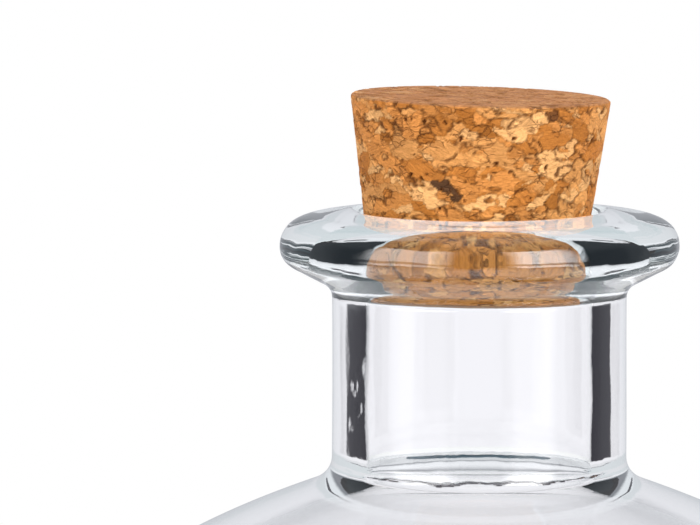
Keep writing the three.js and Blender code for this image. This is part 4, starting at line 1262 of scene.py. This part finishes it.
def finish_nodes():
    """Gives each CAD node that keeps its shape its material."""
    kept = [
        (DECK, "deck quarterdeck forecastle_deck"),
        (SPAR_FORWARD, "bowsprit"),
        (WHITE, "deckhouse lifeboat_port lifeboat_starboard"),
        (BRASS, "ship_wheel"),
        (IRON, "anchor_port anchor_starboard"),
        (DARK_WOOD, "cap_rail rudder deckhouse_roof main_hatch fore_hatch capstan wheel_stand"),
    ]
    finishes = {name: finish for finish, names in kept for name in names.split()}
    for mast, (_, _, yards) in MASTS.items():
        finishes[mast + "_mast"] = SPAR_UP
        finishes[mast + "_hinge_staple"] = BRASS
        for level, _, _ in yards:
            finishes[f"{mast}_{level}_yard"] = SPAR_ACROSS
    for name, finish in finishes.items():
        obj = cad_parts[name]
        if not obj.data.materials:
            obj.data.materials.append(finish)
        for n, slot in enumerate(obj.material_slots):
            obj.data.materials[n] = finish


# ---------- stage ----------


def light_path(n):
    """The light path's outputs, and whether light has been reflected and whether it has crossed
    glass."""
    path = n.tree.nodes.new("ShaderNodeLightPath").outputs
    depths = path["Glossy Depth"], path["Transmission Depth"]
    return path, *(n.math("GREATER_THAN", depth, 0.5) for depth in depths)


def studio_world():
    """White all round. What glass shows by reflection or from inside itself has panels and dark
    flags, as in a studio where a white sweep is flagged at both sides to draw a bottle's edges."""
    world = bpy.data.worlds.new("studio")
    scene.world = world
    world.use_nodes = True
    world.node_tree.nodes.clear()
    n = Nodes(world.node_tree)
    path, once, bent = light_path(n)
    direction = n.make("TexCoord", "Generated")
    x, y, z = (n.make("SeparateXYZ", k, {"Vector": direction}) for k in ("X", "Y", "Z"))
    azimuth = n.math("DEGREES", n.math("ARCTAN2", x, n.times(y, -1.0)))
    # Angle away from the nearest of the four side-on directions, 0 to 45 degrees
    quarter = n.absolute(n.math("PINGPONG", n.plus(azimuth, 360.0), 45.0))
    # Upright glass sends a camera that looks slightly down to directions with this at 0
    off_upright = n.absolute(n.plus(z, 0.1))
    flag = n.times(n.span(quarter, 24.0, 29.0), n.span(off_upright, 0.07, 0.045))

    def panel(low, high):
        return n.times(n.span(azimuth, low - 8, low + 8), n.span(azimuth, high + 8, high - 8))

    tall = n.times(n.span(z, -0.97, -0.90), n.span(z, 0.74, 0.66))
    tall = n.times(tall, n.span(z, -0.40, -0.18, 0.6, 1.0))
    tall = n.times(tall, n.span(off_upright, 0.04, 0.10, 0.27, 1.0))
    rear = n.math("MAXIMUM", n.span(y, -0.1, 0.4), n.span(z, 0.3, 0.7))
    mirrored = n.mix(rear, (0.28, 0.27, 0.31), (0.55, 0.56, 0.60))
    mirrored = n.mix(n.times(panel(-71, -22), tall), mirrored, (7.2, 7.2, 7.3))
    mirrored = n.mix(n.times(panel(22, 57), tall), mirrored, (11.5, 11.5, 11.6))
    tilted = n.span(n.absolute(z), 0.25, 0.5)
    inside = n.mix(tilted, (0.92, 0.91, 0.95), (0.22, 0.225, 0.25))
    inside = n.mix(flag, inside, (0.03, 0.028, 0.036))
    steep = n.math("MAXIMUM", n.span(z, 0.42, 0.62), n.span(z, -0.42, -0.62, 0.0, 0.3))
    through = n.mix(steep, (0.965, 0.945, 0.99), (0.06, 0.055, 0.07))
    # Light that has crossed only two surfaces came sideways through the solid lip
    patch = n.span(n.noise(direction, 5.0, detail=3, rough=0.6, distortion=0.6), 0.47, 0.60)
    sideways = n.mix(patch, (0.030, 0.052, 0.057), (0.70, 0.72, 0.74))
    through = n.mix(n.math("LESS_THAN", path["Transmission Depth"], 2.5), through, sideways)
    soft = (0.55, 0.55, 0.57)
    seen = n.mix(once, n.mix(bent, soft, through), n.mix(bent, mirrored, inside))
    seen = n.mix(path["Is Camera Ray"], seen, (1.0, 1.0, 1.0))
    light = n.make("Background", inputs={"Color": seen, "Strength": 1.0})
    out = n.tree.nodes.new("ShaderNodeOutputWorld")
    n.tree.links.new(light, out.inputs["Surface"])


LAMPS = [  # name, place, height aimed at, size, power
    ("key_right", (0.75, -0.9, 0.42), 0.16, (0.6, 0.8), 11.0),
    ("fill_left", (-0.85, -0.75, 0.32), 0.16, (0.5, 0.8), 7.0),
    ("top", (0.0, 0.15, 1.1), 0.1, (0.9, 0.9), 4.5),
    ("back", (0.1, 0.95, 0.5), 0.12, (0.9, 0.6), 6.0),
]


def lamps():
    """Area lamps aimed at the bottle's axis, which neither the camera nor the glass sees."""
    for name, place, height, size, power in LAMPS:
        data = bpy.data.lights.new(name, "AREA")
        data.shape, data.size, data.size_y = "RECTANGLE", *size
        data.energy = power
        obj = in_scene(name, data)
        obj.location = place
        obj.rotation_euler = (Vector((0, 0, height)) - Vector(place)).to_track_quat("-Z", "Y").to_euler()
        obj.visible_camera = obj.visible_glossy = obj.visible_transmission = False


FLOOR_RADIUS, FLOOR_THICKNESS = 0.6, 0.02
FADE = 0.25, 0.58  # where the floor turns into the white background


def floor():
    """A pale disc under the bottle."""
    made, n = material("pale_floor")
    speckle = n.noise(n.place(), 0.02, detail=2)
    paint = n.ramp(speckle, [(0, (0.84, 0.84, 0.85)), (1, (0.88, 0.88, 0.89))])
    pale = n.make("BsdfDiffuse", inputs={"Color": paint})
    glow = n.make("Emission", inputs={"Color": (1, 1, 1, 1), "Strength": 1.0})
    where = n.make("TexCoord", "Object")
    reach = n.make("VectorMath", "Value", {0: where}, operation="LENGTH")
    seen = n.make("MixShader", inputs={0: n.span(reach, *FADE), 1: pale, 2: glow})
    # Light turned round inside a glass wall finds the floor grey, which draws the edges of the glass
    _, once, bent = light_path(n)
    grey = n.make("Emission", inputs={"Color": (0.80, 0.80, 0.83, 1), "Strength": 1.0})
    out = n.tree.nodes.new("ShaderNodeOutputMaterial")
    edged = n.make("MixShader", inputs={0: n.times(once, bent), 1: seen, 2: grey})
    n.tree.links.new(edged, out.inputs["Surface"])
    low = -FLOOR_THICKNESS
    verts, faces = turned([(0, low), (FLOOR_RADIUS, low), (FLOOR_RADIUS, 0), (0, 0)], 96)
    mesh = bpy.data.meshes.new("floor")
    mesh.from_pydata([tuple(v) for v in verts], [], faces)
    mesh.materials.append(made)
    in_scene("floor", mesh)


CAMERA_DISTANCE = 1.25
CAMERA_ELEVATION = math.radians(5.7)
CAMERA_AIM = (-20.8 * MM, 0.0, 184.1 * MM)
FRAME_WIDTH = 112.5 * MM


def camera():
    """A long lens at the photo's viewpoint, looking slightly down on the top of the bottle."""
    data = bpy.data.cameras.new("camera")
    data.lens = data.sensor_width * CAMERA_DISTANCE / FRAME_WIDTH
    data.clip_start, data.clip_end = 0.05, 20
    obj = in_scene("camera", data)
    back = Vector((0, -math.cos(CAMERA_ELEVATION), math.sin(CAMERA_ELEVATION)))
    obj.location = Vector(CAMERA_AIM) + back * CAMERA_DISTANCE
    obj.rotation_euler = (-back).to_track_quat("-Z", "Y").to_euler()
    scene.camera = obj


scene.view_settings.view_transform = "Standard"
camera()
studio_world()
lamps()
floor()
bottle()
cork()
sea()
hull()
for mast_name in MASTS:
    square_rig(mast_name)
    pennant(mast_name)
    mast_fittings(mast_name)
    shrouds(mast_name, 1)
    shrouds(mast_name, -1)
stays()
jib("outer_jib", "fore_stay", 0.1, 0.64, (41, 3.4, 22), 1.2)
jib("inner_jib", "fore_inner_stay", 0.08, 0.7, (34, 1, 17), 0.5)
deck_fittings()
finish_nodes()
